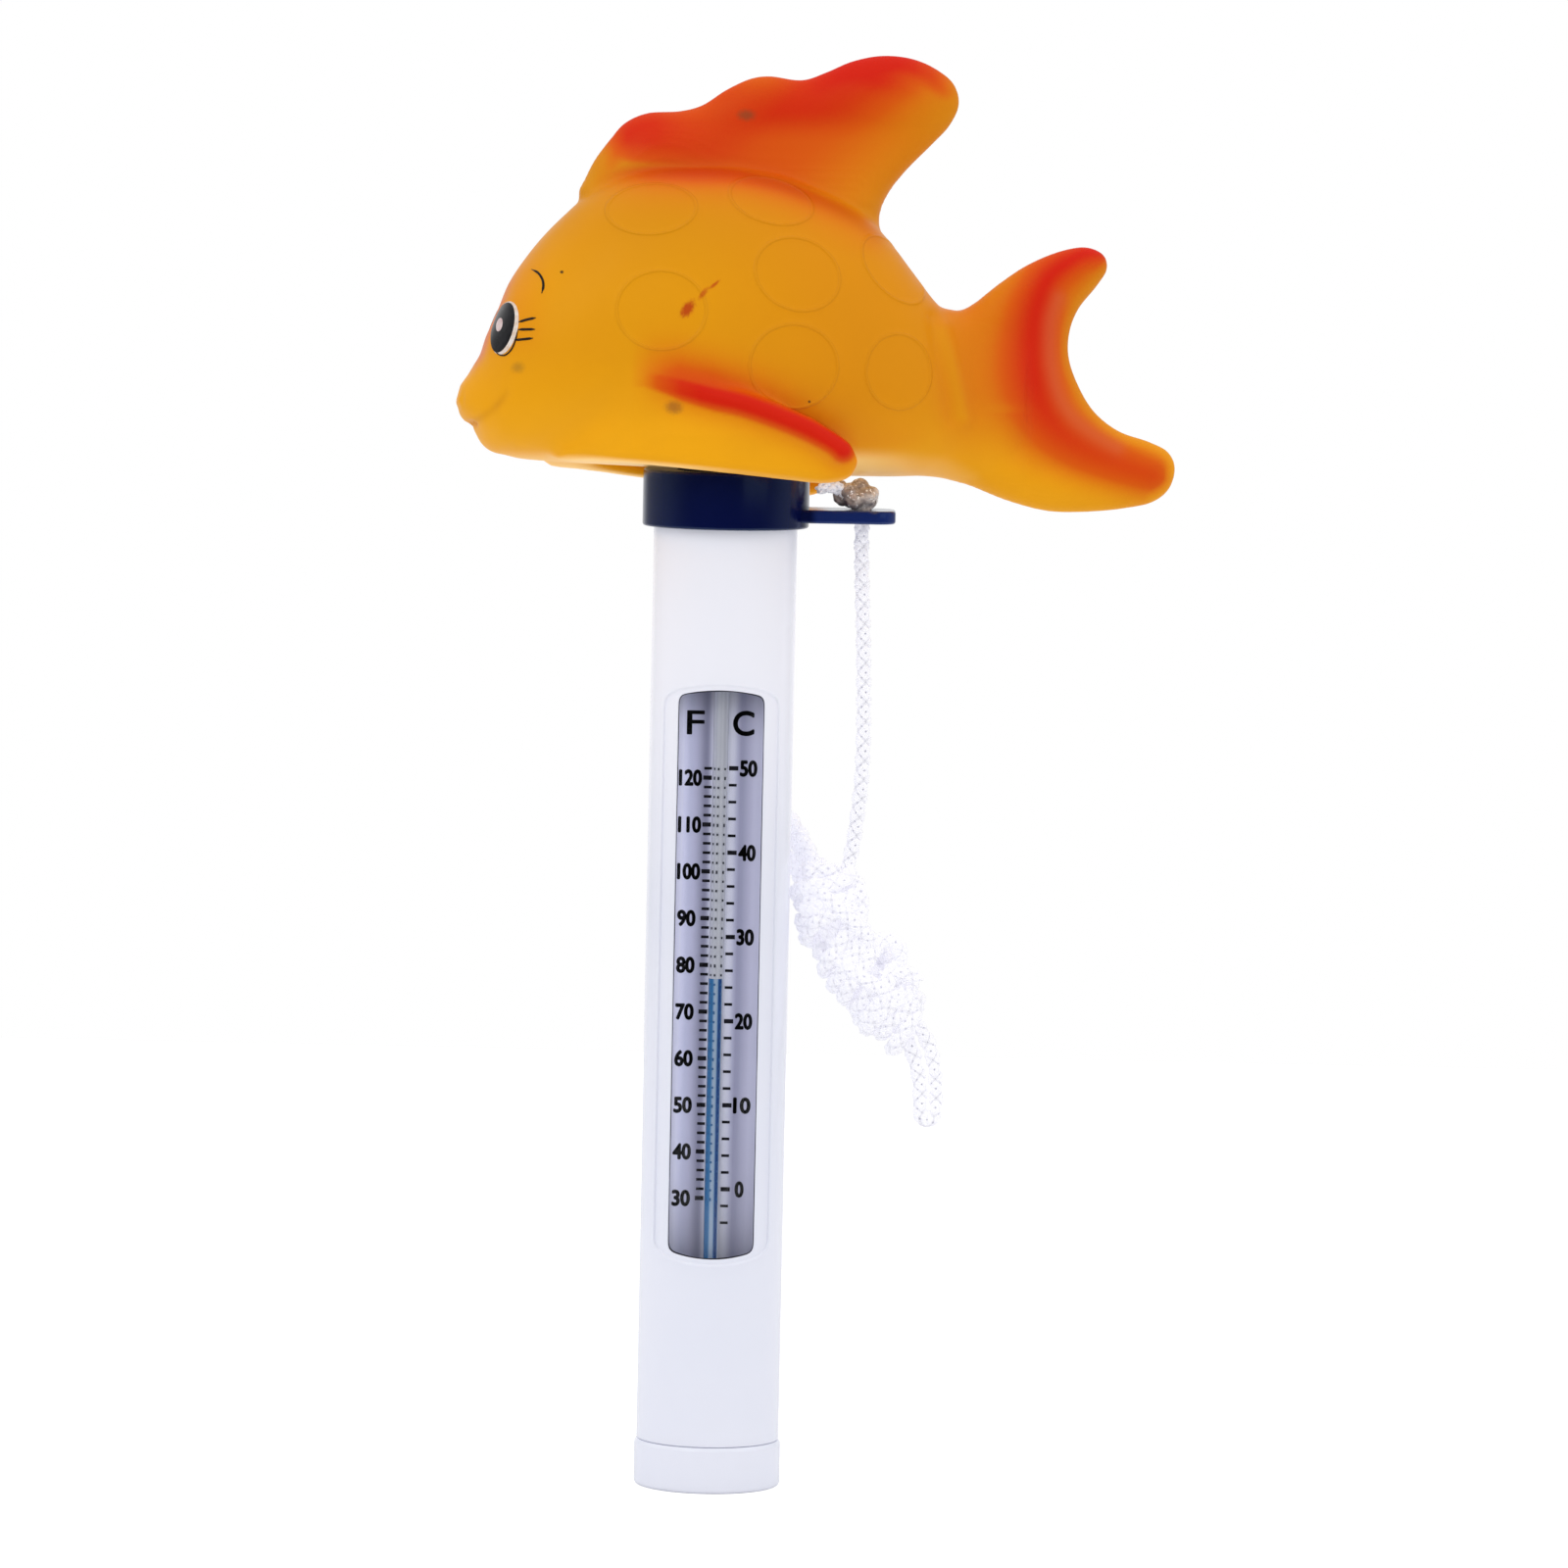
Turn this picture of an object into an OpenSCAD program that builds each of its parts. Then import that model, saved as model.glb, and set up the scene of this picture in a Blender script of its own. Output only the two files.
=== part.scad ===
// Floating pool thermometer: a glass spirit thermometer in a sealed white
// tube, hung under a hollow fish-shaped float, with a braided tether cord.
// Origin: centre of the end cap's bottom face. +Z runs up the tube axis,
// the window faces -Y, the fish's nose points to -X, the tether lug to +X.
// Millimetres.

/* [Tube] */
// Outside diameter of the white tube
tube_od = 22; // [22:0.1:22.4]
// Wall thickness of the tube
tube_wall = 1.5; // [1.4:0.05:1.6]
// Height of the tube's upper end above the base
tube_top = 154.5; // [154:0.1:154.5]
// Height of the seam between the tube and the end cap
seam_z = 7.2; // [6.8:0.1:7.6]

/* [Window] */
// Width of the window opening, straight across
window_w = 13.1; // [12:0.1:13.4]
// Lower end of the window opening
window_z0 = 36.2; // [35.8:0.1:38]
// Upper end of the window opening
window_z1 = 123.5; // [121:0.1:124]
// Depth of the shallow recess around the window
recess_d = 0.35; // [0.2:0.05:0.4]

/* [Thermometer] */
// Distance from the tube axis forward to the glass stem
stem_y = 6.0; // [5.8:0.1:6.1]
// Radius of the glass stem
stem_r = 1.15; // [1.05:0.01:1.15]
// Radius of the capillary bore
bore_r = 0.42; // [0.38:0.01:0.45]
// Height of the spirit's meniscus at rest
spirit_z = 79.3; // [50:0.1:109]

/* [Collar] */
// Outside diameter of the blue collar
collar_od = 25.5; // [25.2:0.1:25.8]
// Height of the collar's lower edge
collar_z0 = 148; // [147.8:0.1:148.2]
// Radial running clearance between the collar's skirt and the tube
turn_gap = 0.05; // [0.03:0.01:0.08]
// Reach of the tether lug from the tube axis
lug_reach = 26; // [25:0.5:27]
// Width of the tether lug
lug_w = 11; // [10:0.5:12]
// Radius of the cord eye in the lug
eye_r = 1.6; // [1.5:0.05:1.7]

/* [Fish float] */
// Turn of the fish on its neck, about the tube axis
fish_yaw = 6; // [4:1:8]
// Lean of the fish on its neck, about its own length
fish_lean = -6; // [-7:1:-4]
// Wall thickness of the vinyl shell
vinyl_wall = 2; // [1.8:0.1:2.2]

/* [Cord] */
// Diameter of the braided cord
cord_d = 2.3; // [2.2:0.1:2.4]

/* [Hidden] */
$fn = 64;

white = [0.93, 0.94, 0.98];
carrier_white = [0.9, 0.9, 0.92];
glass = [0.85, 0.9, 0.88, 0.5];
spirit_blue = [0.2, 0.4, 0.7];
rubber = [0.12, 0.12, 0.13];
cord_white = [0.96, 0.96, 0.98];

cut = 1;  // how far a cutter runs past the face it opens
tube_r = tube_od / 2;
tube_ri = tube_r - tube_wall;
cord_r = cord_d / 2;

// Seal grooves in the end cap and the collar
groove_r = 8.4;
groove_h = 1.2;
seal_r = 0.5;

// ---------- shared shapes ----------

// Upright cylinder on the tube axis.
module rod(r, z, h) {
    translate([0, 0, z]) cylinder(r = r, h = h);
}

// Upright pipe on the tube axis.
module pipe(outer, inner, z, h) {
    difference() {
        rod(outer, z, h);
        rod(inner, z - cut, h + 2 * cut);
    }
}

// Round-section ring about the tube axis.
module o_ring(ring_r, z) {
    translate([0, 0, z]) rotate_extrude() translate([ring_r, 0]) circle(seal_r, $fn = 32);
}

// Hull round balls given as [x, y, z, radius].
module ball_hull(balls, facets) {
    hull() for (ball = balls)
        translate([ball[0], ball[1], ball[2]]) sphere(ball[3], $fn = facets);
}

// Solid skinned over a list of rings, each with the same number of points.
module skin(rings) {
    count = len(rings);
    sides = len(rings[0]);
    walls = [for (i = [0:count - 2], j = [0:sides - 1])
        [i * sides + j, i * sides + (j + 1) % sides]];
    polyhedron(
        [for (ring = rings) for (point = ring) point],
        concat(
            [[for (j = [0:sides - 1]) j]],
            [for (edge = walls) [edge[1], edge[0], edge[0] + sides]],
            [for (edge = walls) [edge[1], edge[0] + sides, edge[1] + sides]],
            [[for (j = [sides - 1:-1:0]) (count - 1) * sides + j]]));
}

// Catmull-Rom curve from p1 to p2, and paths with a number of steps per span.
function spline(p0, p1, p2, p3, t) = 0.5 * (2 * p1 + (p2 - p0) * t
    + (2 * p0 - 5 * p1 + 4 * p2 - p3) * t * t
    + (3 * p1 - p0 - 3 * p2 + p3) * t * t * t);
function smooth_open(path, steps) = let (last = len(path) - 1) concat(
    [for (i = [0:last - 1], j = [0:steps - 1])
        spline(path[max(i - 1, 0)], path[i], path[i + 1], path[min(i + 2, last)], j / steps)],
    [path[last]]);
function smooth_closed(path, steps) = let (n = len(path))
    [for (i = [0:n - 1], j = [0:steps - 1])
        spline(path[(i + n - 1) % n], path[i], path[(i + 1) % n], path[(i + 2) % n], j / steps)];

function unit(v) = v / norm(v);
function tangent(path, i) = unit(path[min(i + 1, len(path) - 1)] - path[max(i - 1, 0)]);

// Round solid swept along control points [x, y, z, radius]; the first axis
// of each ring is square to the path and to the direction ref.
module swept(controls, steps, sides, ref = [0, 1, 0]) {
    curve = smooth_open(controls, steps);
    path = [for (q = curve) [q[0], q[1], q[2]]];
    skin([for (i = [0:len(path) - 1])
        let (along = tangent(path, i), across = unit(cross(along, ref)), up = cross(along, across))
        [for (j = [0:sides - 1]) let (a = 360 * j / sides)
            path[i] + curve[i][3] * (cos(a) * across + sin(a) * up)]]);
}

// ---------- tube and window ----------

recess_w = 17.2;
recess_margin = 0.6;   // recess beyond each end of the window
lens_gap = 0.06;       // gap round the pane in the opening
lens_sink = 0.75;      // pane's face below the tube's surface
lens_back_r = tube_ri - 0.9;
lens_rise = 3.4;
flange_gap = 0.04;
flange_side = 1.2;     // flange beyond the opening, each side
flange_end = 2.6;      // flange beyond the opening, each end

// Outline in x and z of a tall opening from z0 to z1 with arched ends.
function arch(u) = pow(1 - pow(abs(u), 2.6), 1 / 2.2);
function arch_outline(w, z0, z1, rise, steps = 10) = let (side = [for (i = [0:2 * steps])
    1 - i / steps]) concat(
        [for (u = side) [w / 2 * u, z1 - rise + rise * arch(u)]],
        [for (u = side) [-w / 2 * u, z0 + rise - rise * arch(u)]]);

// Prism running forward from the tube axis, larger than the window
// opening by side and end.
module window_prism(side, end, rise) {
    rotate([90, 0, 0]) linear_extrude(14)
        polygon(arch_outline(window_w + 2 * side, window_z0 - end, window_z1 + end, rise));
}

module tube_body() color(white) difference() {
    pipe(tube_r, tube_ri, seam_z, tube_top - seam_z);
    window_prism(side = 0, end = 0, rise = 3.5);
    intersection() {
        window_prism(side = (recess_w - window_w) / 2, end = recess_margin, rise = 7);
        pipe(tube_r + cut, tube_r - recess_d, 20, 120);
    }
}

module lens_layer(side, end, outer) intersection() {
    window_prism(side, end, lens_rise);
    pipe(outer, lens_back_r, 30, 100);
}

// Clear pane in the opening with a flange bonded behind it.
module window_lens() color([0.85, 0.9, 0.98, 0.3]) {
    lens_layer(-lens_gap, -lens_gap, tube_r - lens_sink);
    lens_layer(flange_side, flange_end, tube_ri - flange_gap);
}

// ---------- end cap ----------

cap_spigot_r = 9.45;
cap_bore_r = 7.8;
cap_floor = 1.6;
cap_groove_z = 11;
cap_rim_z = seam_z - 0.05;

// Half section [radius, z]: outside, spigot with its groove, then bore.
cap_profile = [
    [0, 0], [10.7, 0], [11.1, 0.15], [11.3, 0.6], [11.3, 6.5], [11.05, 7.0],
    [10.9, cap_rim_z], [cap_spigot_r, cap_rim_z],
    [cap_spigot_r, cap_groove_z - groove_h / 2], [groove_r, cap_groove_z - groove_h / 2],
    [groove_r, cap_groove_z + groove_h / 2], [cap_spigot_r, cap_groove_z + groove_h / 2],
    [cap_spigot_r, 14.4], [9.1, 15], [cap_bore_r, 15],
    [cap_bore_r, cap_floor], [0, cap_floor]];

module end_cap() color(white) difference() {
    rotate_extrude() polygon(cap_profile);
    // round dimple in the inside floor
    rod(r = 2, z = cap_floor - 0.4, h = 1);
}

module end_cap_seal() color(rubber) o_ring(8.94, cap_groove_z);

// Weight with a small blind hole in its top.
module ballast_weight() color([0.6, 0.61, 0.63]) difference() {
    rod(r = 7.6, z = 1.7, h = 7.8);
    rod(r = 1.5, z = 8, h = 3);
}

module bulb_pad() color([0.95, 0.93, 0.85]) rod(r = 7.4, z = 9.7, h = 5.6);

// ---------- inner thermometer ----------

stem_z0 = 25.5;
stem_z1 = 134.5;
bore_h = 107;
bulb_z = 18;      // centre of the bulb's round bottom
bulb_r = 2.5;
bulb_ri = 1.9;
bulb_h = 6;
spirit_gap = 0.1; // axial gap at the spirit's ends inside the glass

card_w = 14.2;
card_t = 0.4;
card_y0 = -(stem_y - stem_r - 0.1);  // front face, just behind the stem
slot_gap = 0.1;
carrier_h = 3;

clip_heights = [34.2, 126];
clip_r = 1.45;
wire_r = 0.22;
clip_hole_r = 0.32;

// Places children on the stem's axis at height z.
module on_stem(z = 0) {
    translate([0, -stem_y, z]) children();
}

// Disc that holds the card and the stem across the tube, with a round
// hole behind the tube axis.
module carrier(z) {
    cut_z = z - cut;
    cut_h = carrier_h + 2 * cut;
    difference() {
        rod(tube_ri - 0.15, z, carrier_h);
        translate([-card_w / 2 - slot_gap, card_y0 - slot_gap, cut_z])
            cube([card_w + 2 * slot_gap, card_t + 2 * slot_gap, cut_h]);
        on_stem(cut_z) cylinder(r = stem_r + 0.05, h = cut_h);
        translate([0, 3, cut_z]) cylinder(r = 3, h = cut_h);
    }
}

module lower_carrier() color(carrier_white) carrier(28);
module upper_carrier() color(carrier_white) carrier(129);

module scale_card() color([0.70, 0.70, 0.80]) difference() {
    translate([-card_w / 2, card_y0, 27.5]) cube([card_w, card_t, 105]);
    for (z = clip_heights, side = [-1, 1])
        translate([side * clip_r, card_y0 - cut, z]) rotate([-90, 0, 0])
            cylinder(r = clip_hole_r, h = 3);
}

module capillary_stem() color(glass) difference() {
    on_stem() union() {
        rod(stem_r, stem_z0, stem_z1 - stem_z0);
        translate([0, 0, stem_z1]) sphere(stem_r);
    }
    on_stem(stem_z0 - cut) cylinder(r = bore_r, h = bore_h + cut);
}

// Upright cylinder with a round bottom, at the bulb's place.
module bulb_shape(r, h) {
    on_stem(bulb_z) {
        cylinder(r = r, h = h);
        sphere(r);
    }
}

module glass_bulb() color(glass) difference() {
    union() {
        bulb_shape(bulb_r, bulb_h);
        on_stem(bulb_z + bulb_h) cylinder(r1 = bulb_r, r2 = 1.3, h = 1.4);
    }
    bulb_shape(bulb_ri, bulb_h);
    on_stem(bulb_z + bulb_h - cut) cylinder(r = bore_r, h = 4);
}

// Two wire clips that tie the stem to the card.
module stem_clips() color([0.75, 0.76, 0.78])
    for (z = clip_heights) on_stem(z) {
        rotate([0, 0, 180]) rotate_extrude(angle = 180)
            translate([clip_r, 0]) circle(wire_r, $fn = 24);
        for (side = [-1, 1]) translate([side * clip_r, 0, 0]) rotate([-90, 0, 0])
            cylinder(r = wire_r, h = 2.2);
    }

module bulb_spirit() color(spirit_blue) bulb_shape(bulb_ri - 0.05, bulb_h - spirit_gap);

module spirit_column() color(spirit_blue)
    on_stem(stem_z0 + spirit_gap)
        cylinder(r = bore_r - 0.04, h = spirit_z - stem_z0 - spirit_gap);

// ---------- collar ----------

collar_r = collar_od / 2;
collar_z1 = 156.8;
collar_groove_z = 150.2;
skirt_ri = tube_r + turn_gap;
roof_z = 154.6;           // underside of the roof
collar_spigot_r = 9.42;
collar_bore_r = 7.9;
neck_r = 7.5;
neck_ri = 5.8;
barb_r = 8.5;
neck_top = 163.4;
lug_z0 = 149;
lug_z1 = 151;
lug_h = lug_z1 - lug_z0;
lug_corner = 3;
eye_x = 20.9;

// Half section [radius, z]: skirt, roof, barbed neck, bore, then spigot.
collar_profile = [
    [skirt_ri, collar_z0], [collar_r - 0.3, collar_z0], [collar_r, collar_z0 + 0.4],
    [collar_r, collar_z1 - 0.5], [collar_r - 0.5, collar_z1],
    [neck_r, collar_z1], [neck_r, 159.6], [barb_r, 160.4], [barb_r, 161],
    [7.2, neck_top], [0, neck_top], [0, neck_top - 2], [neck_ri, neck_top - 2],
    [neck_ri, roof_z], [collar_bore_r, roof_z], [collar_bore_r, 146.4],
    [9.1, 146.4], [collar_spigot_r, 146.8],
    [collar_spigot_r, collar_groove_z - groove_h / 2], [groove_r, collar_groove_z - groove_h / 2],
    [groove_r, collar_groove_z + groove_h / 2], [collar_spigot_r, collar_groove_z + groove_h / 2],
    [collar_spigot_r, roof_z], [skirt_ri, roof_z]];

// Flat lug with rounded outer corners, trimmed clear of the skirt's bore.
module tether_lug() difference() {
    union() {
        translate([0, -lug_w / 2, lug_z0]) cube([lug_reach - lug_corner, lug_w, lug_h]);
        translate([0, -lug_w / 2 + lug_corner, lug_z0])
            cube([lug_reach, lug_w - 2 * lug_corner, lug_h]);
        for (side = [-1, 1])
            translate([lug_reach - lug_corner, side * (lug_w / 2 - lug_corner), lug_z0])
                cylinder(r = lug_corner, h = lug_h);
    }
    rod(collar_r - 0.6, lug_z0 - cut, 5);
}

module collar() color([0.07, 0.10, 0.36]) difference() {
    union() {
        rotate_extrude() polygon(collar_profile);
        tether_lug();
    }
    translate([eye_x, 0, lug_z0 - cut]) cylinder(r = eye_r, h = 5);
}

module collar_seal() color(rubber) o_ring(8.93, collar_groove_z);

// ---------- fish float, in its own frame above the collar ----------

// Body sections, nose to tail: [x, top, bottom, half width].
body = [
    [-41.2, 12.6, 9.4, 1.8], [-40.6, 13.6, 8.3, 3.6], [-39.4, 15.2, 6.6, 5.6],
    [-37.8, 17.8, 4.2, 7.8], [-36.2, 22.6, 2.6, 9.8], [-34.2, 28.2, 1.7, 11.8],
    [-31.5, 32.4, 1.2, 13.6], [-28, 36.6, 1.0, 15.2], [-23, 41.2, 0.8, 16.7],
    [-17, 44.4, 0.6, 17.8], [-10, 46, 0.3, 18.4], [-2, 46.4, 0, 18.6],
    [6, 45.4, -0.3, 18.4], [13, 43.2, -0.6, 17.6], [19, 40.4, -0.7, 16.4],
    [24, 36, -0.4, 14.6], [28, 31, 0, 12.6], [32, 26.6, 0.4, 10.2],
    [36, 24, 0.8, 7.8], [40, 22.5, 2.5, 5.2], [43, 20, 5, 3]];

// The cavity skips the first four and last three sections.
cavity = [for (i = [4:len(body) - 4]) body[i]];

// Fin outlines [x, z].
dorsal = [
    [-20.5, 45.5], [-18.2, 50.8], [-13, 54.5], [-4.4, 55.8], [3.2, 60.2],
    [11, 60.1], [18.6, 63.2], [25, 64.1], [32, 62], [35.3, 57], [31.2, 50.7],
    [24.7, 43.6], [23, 37.5], [14, 38], [0, 41], [-14, 40]];
tail = [
    [34, 24.8], [41.5, 29.3], [46.2, 32.4], [51.7, 34.6], [56.5, 35],
    [58.3, 32.3], [54, 25.6], [52.6, 18.6], [56.6, 10], [62.5, 6.1],
    [68.3, 3.9], [68.8, 0], [66.1, -3.8], [55.8, -5.3], [46, -4],
    [37.9, -0.7], [34, 1], [31, 12]];

// Balls of the swept-back front side fin: [x, y, z, radius].
side_fin = [
    [-12, -14.5, 9.5, 2.4], [-12, -14, 2.2, 2.2], [2, -18.2, 5.4, 2.2],
    [14.6, -19.8, 0.6, 1.9], [12.2, -19.2, -0.8, 1.7], [-8, -14, -0.2, 1.6]];

function signed_pow(v, power) = sign(v) * pow(abs(v), power);

// Ring of one body section, drawn inward by inset.
function section(s, inset, sides) =
    let (mid_z = (s[1] + s[2]) / 2, half_h = (s[1] - s[2]) / 2 - inset, half_w = s[3] - inset)
    [for (j = [0:sides - 1]) let (a = 360 * j / sides)
        [s[0], half_w * signed_pow(cos(a), 0.86), mid_z + half_h * signed_pow(sin(a), 0.9)]];

module loft(sections, inset, sides) {
    skin([for (s = sections) section(s, inset, sides)]);
}

// Upright plate with rounded edges, half thickness edge_r + half_t.
module fin(outline, half_t, edge_r = 2.6) minkowski() {
    translate([0, half_t, 0]) rotate([90, 0, 0]) linear_extrude(2 * half_t)
        offset(delta = -edge_r) polygon(smooth_closed(outline, 2));
    sphere(edge_r, $fn = 12);
}

module fish() difference() {
    union() {
        loft(body, 0, 28);
        fin(dorsal, 0.5);
        fin(tail, 0.7);
        ball_hull(side_fin, 14);
        mirror([0, 1, 0]) ball_hull(side_fin, 14);
    }
    loft(cavity, vinyl_wall, 20);
}

// The zero resize changes no size; it has the float evaluated as one mesh.
module fish_float() color([0.90, 0.60, 0.10]) resize([0, 0, 0]) difference() {
    translate([0, 0, collar_z1 - 0.2]) rotate([fish_lean, 0, fish_yaw]) fish();
    // seat on the collar, mouth round the neck, and room for the barb
    rod(collar_r + 0.3, 140, collar_z1 + 0.05 - 140);
    rod(neck_r + 0.05, 150, 10);
    rod(barb_r + 0.2, 159.3, 5);
}

// ---------- tether cord, split where it bends ----------

bend_z = 145.6;               // bend below the lug
eye_cord_z0 = bend_z + 1.35;  // lower end of the cord in the eye

// Melted knot that stops the cord above the lug, and the cord in the eye.
module stopper_knot() color([0.86, 0.82, 0.78]) union() {
    ball_hull([[17.9, 0.3, lug_z1 + 2.15, 2.1], [20.9, -0.6, lug_z1 + 1.85, 1.8],
        [19.8, 1.0, lug_z1 + 2.4, 1.7]], 28);
    translate([eye_x, 0, eye_cord_z0]) cylinder(r = cord_r, h = lug_z1 + 1.8 - eye_cord_z0);
}

// Control points of the cord pieces: [x, y, z, radius].
drop_path = [
    [eye_x, 0, bend_z + 0.95, cord_r * 0.35], [eye_x, 0, bend_z + 0.6, cord_r * 0.8],
    [eye_x, 0, bend_z, cord_r], [eye_x, 0, bend_z - 0.9, cord_r],
    [eye_x, 0, bend_z - 2.6, cord_r], [21.1, 0, 139, cord_r], [21.7, 0, 124, cord_r],
    [21.8, 0.6, 114, cord_r], [21.5, 1.8, 107, cord_r], [20.9, 2.9, 101.5, cord_r],
    [20.4, 3.6, 98, cord_r * 0.8]];
coil_path = [
    [14.2, 5.4, 97.4, 1.4], [15, 5.2, 95.4, 3.4], [16.2, 5.1, 92, 4.7],
    [17.6, 5, 88.4, 5.2], [19, 5, 84.8, 5.0], [21.4, 5, 80.6, 5.4],
    [24, 5.1, 76.6, 5.5], [26.4, 5.2, 72.8, 4.8], [28.2, 5.2, 70.2, 3.6],
    [29, 5.2, 69, 1.8]];
loop_path = [
    [14.6, 7, 94.5, cord_r], [12.6, 9.8, 98.6, cord_r], [9.8, 12.8, 103, cord_r],
    [4.5, 14.8, 106.4, cord_r], [0, 15.4, 107, cord_r], [-1.2, 15.6, 104.6, cord_r],
    [2, 15.4, 102.4, cord_r], [7.6, 14.2, 99.8, cord_r], [12, 11, 95.6, cord_r],
    [14.6, 8, 92, cord_r]];
tail_path = [
    [32.0, 5.2, 65.7, 1.2], [32.2, 5.2, 64.7, 1.9], [32.6, 5.2, 62, 2.1],
    [32.9, 5.2, 59, 2.1], [32.8, 5.2, 57.2, 1.8], [32.75, 5.2, 56.3, 0.9]];

module tether_drop() color(cord_white) swept(drop_path, steps = 4, sides = 12);

// Wrapped coil of spare cord, with the loop that lies behind the tube.
module tether_hank() color(cord_white) union() {
    swept(coil_path, steps = 4, sides = 20);
    swept(loop_path, steps = 3, sides = 10, ref = [0, 0.6, 0.8]);
}

// Folded end of the cord below the hank.
module tether_tail() color(cord_white) swept(tail_path, steps = 3, sides = 16);

tube_body();
window_lens();
end_cap();
end_cap_seal();
ballast_weight();
bulb_pad();
lower_carrier();
upper_carrier();
scale_card();
capillary_stem();
glass_bulb();
stem_clips();
bulb_spirit();
spirit_column();
collar();
collar_seal();
fish_float();
stopper_knot();
tether_drop();
tether_hank();
tether_tail();
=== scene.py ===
"""Floating thermometer: a white tube with a windowed dial hangs under a vinyl fish float,
and a braided cord drops from the collar's lug to a wound hank.

Part frame: the tube stands on the Z axis with its foot near z = 0, the window faces -Y and
the lug points along +X. The fish has its own frame, with its snout at -X, tail at +X and
height along Z, and is turned into the part frame by to_part. Shapes are in millimetres and
become metres in build; lights, camera, floor and bump depths are in metres.
"""
import math
import bpy
import numpy as np
from mathutils import Vector, Matrix
from mathutils.bvhtree import BVHTree


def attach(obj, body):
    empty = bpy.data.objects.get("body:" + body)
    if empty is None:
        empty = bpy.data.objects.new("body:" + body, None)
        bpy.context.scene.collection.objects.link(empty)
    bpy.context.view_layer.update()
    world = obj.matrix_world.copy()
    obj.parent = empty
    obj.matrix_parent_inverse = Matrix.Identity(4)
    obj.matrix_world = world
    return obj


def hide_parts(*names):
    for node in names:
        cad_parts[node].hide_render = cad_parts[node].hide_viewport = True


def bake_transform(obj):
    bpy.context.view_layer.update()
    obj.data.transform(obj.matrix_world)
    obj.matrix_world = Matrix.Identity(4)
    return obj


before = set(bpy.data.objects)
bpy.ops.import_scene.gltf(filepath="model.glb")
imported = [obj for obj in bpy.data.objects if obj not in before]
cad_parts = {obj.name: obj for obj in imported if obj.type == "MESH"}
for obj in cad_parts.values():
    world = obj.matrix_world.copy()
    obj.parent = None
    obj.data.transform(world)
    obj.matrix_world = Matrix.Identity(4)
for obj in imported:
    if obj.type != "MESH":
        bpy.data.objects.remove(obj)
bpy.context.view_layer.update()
MM = 0.001
CAMERA_AT = np.array([9.7636, -1359.0, 217.945])


# ------------------------------------------------------------------ mesh helpers
# A mesh is a pair: points, and a list of face arrays.
def add_object(name, data):
    item = bpy.data.objects.new(name, data)
    bpy.context.scene.collection.objects.link(item)
    return item


def set_attribute(item, name, kind, values):
    key = {"FLOAT": "value", "FLOAT_VECTOR": "vector", "FLOAT_COLOR": "color"}[kind]
    attribute = item.data.attributes.new(name, kind, "POINT")
    attribute.data.foreach_set(key, np.asarray(values, np.float32).ravel())


def build(name, mesh, material, smooth=True, sharp=None, body=None, replaces=None):
    """Object from a mesh; a fourth point column becomes the "lift" attribute."""
    points = np.asarray(mesh[0], np.float32)
    faces = [np.asarray(face, np.int32) for face in mesh[1] if len(face)]
    corners = np.concatenate([face.ravel() for face in faces])
    sizes = np.concatenate([np.full(len(face), face.shape[1], np.int32) for face in faces])
    starts = np.concatenate([[0], np.cumsum(sizes)[:-1]]).astype(np.int32)
    data = bpy.data.meshes.new(name)
    data.vertices.add(len(points))
    data.vertices.foreach_set("co", (points[:, :3] * MM).ravel())
    data.loops.add(len(corners))
    data.loops.foreach_set("vertex_index", corners)
    data.polygons.add(len(sizes))
    data.polygons.foreach_set("loop_start", starts)
    data.polygons.foreach_set("use_smooth", np.full(len(sizes), smooth))
    data.update(calc_edges=True)
    data.validate()
    if sharp is not None:
        data.set_sharp_from_angle(angle=math.radians(sharp))
    item = add_object(name, data)
    if points.shape[1] == 4:
        set_attribute(item, "lift", "FLOAT", points[:, 3])
    data.materials.append(material)
    if body:
        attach(item, body)
    if replaces:
        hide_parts(replaces)
    return item


def merge(meshes):
    points, faces, count = [], [], 0
    for part_points, part_faces in meshes:
        points.append(np.asarray(part_points, float))
        faces += [np.asarray(face, int) + count for face in part_faces if len(face)]
        count += len(part_points)
    return np.concatenate(points), faces


def unit(vectors):
    return vectors / np.linalg.norm(vectors, axis=-1, keepdims=True)


def arc_length(points):
    steps = np.linalg.norm(np.diff(points, axis=0), axis=1)
    return np.concatenate([[0], np.cumsum(steps)])


def ring_quads(rings, sides, closed=False):
    """Quads between successive rings of points; closed joins the last ring to the first."""
    low = np.arange(rings if closed else rings - 1)[:, None] * sides
    high = (low + sides) % (rings * sides)
    j = np.arange(sides)[None]
    following = (j + 1) % sides
    quads = [low + j, low + following, high + following, high + j]
    return np.stack(quads, 2).reshape(-1, 4)


def fillet(outline, segments):
    """Rounds a closed outline given as rows of (across, height, corner radius)."""
    rows = np.array(outline, float)
    corners, radii = rows[:, :2], rows[:, 2]
    rounded = []
    for i, (corner, radius) in enumerate(zip(corners, radii)):
        if radius <= 0:
            rounded.append(corner)
            continue
        back = corners[i - 1] - corner
        ahead = corners[(i + 1) % len(corners)] - corner
        back_length, ahead_length = np.linalg.norm(back), np.linalg.norm(ahead)
        back, ahead = back / back_length, ahead / ahead_length
        angle = math.acos(max(-1, min(1, float(back @ ahead))))
        cut = min(radius / math.tan(angle / 2), back_length * 0.48, ahead_length * 0.48)
        start, end = corner + back * cut, corner + ahead * cut
        for k in range(segments + 1):
            t = k / segments
            rounded.append((1 - t) ** 2 * start + 2 * t * (1 - t) * corner + t * t * end)
    return np.array(rounded)


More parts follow.
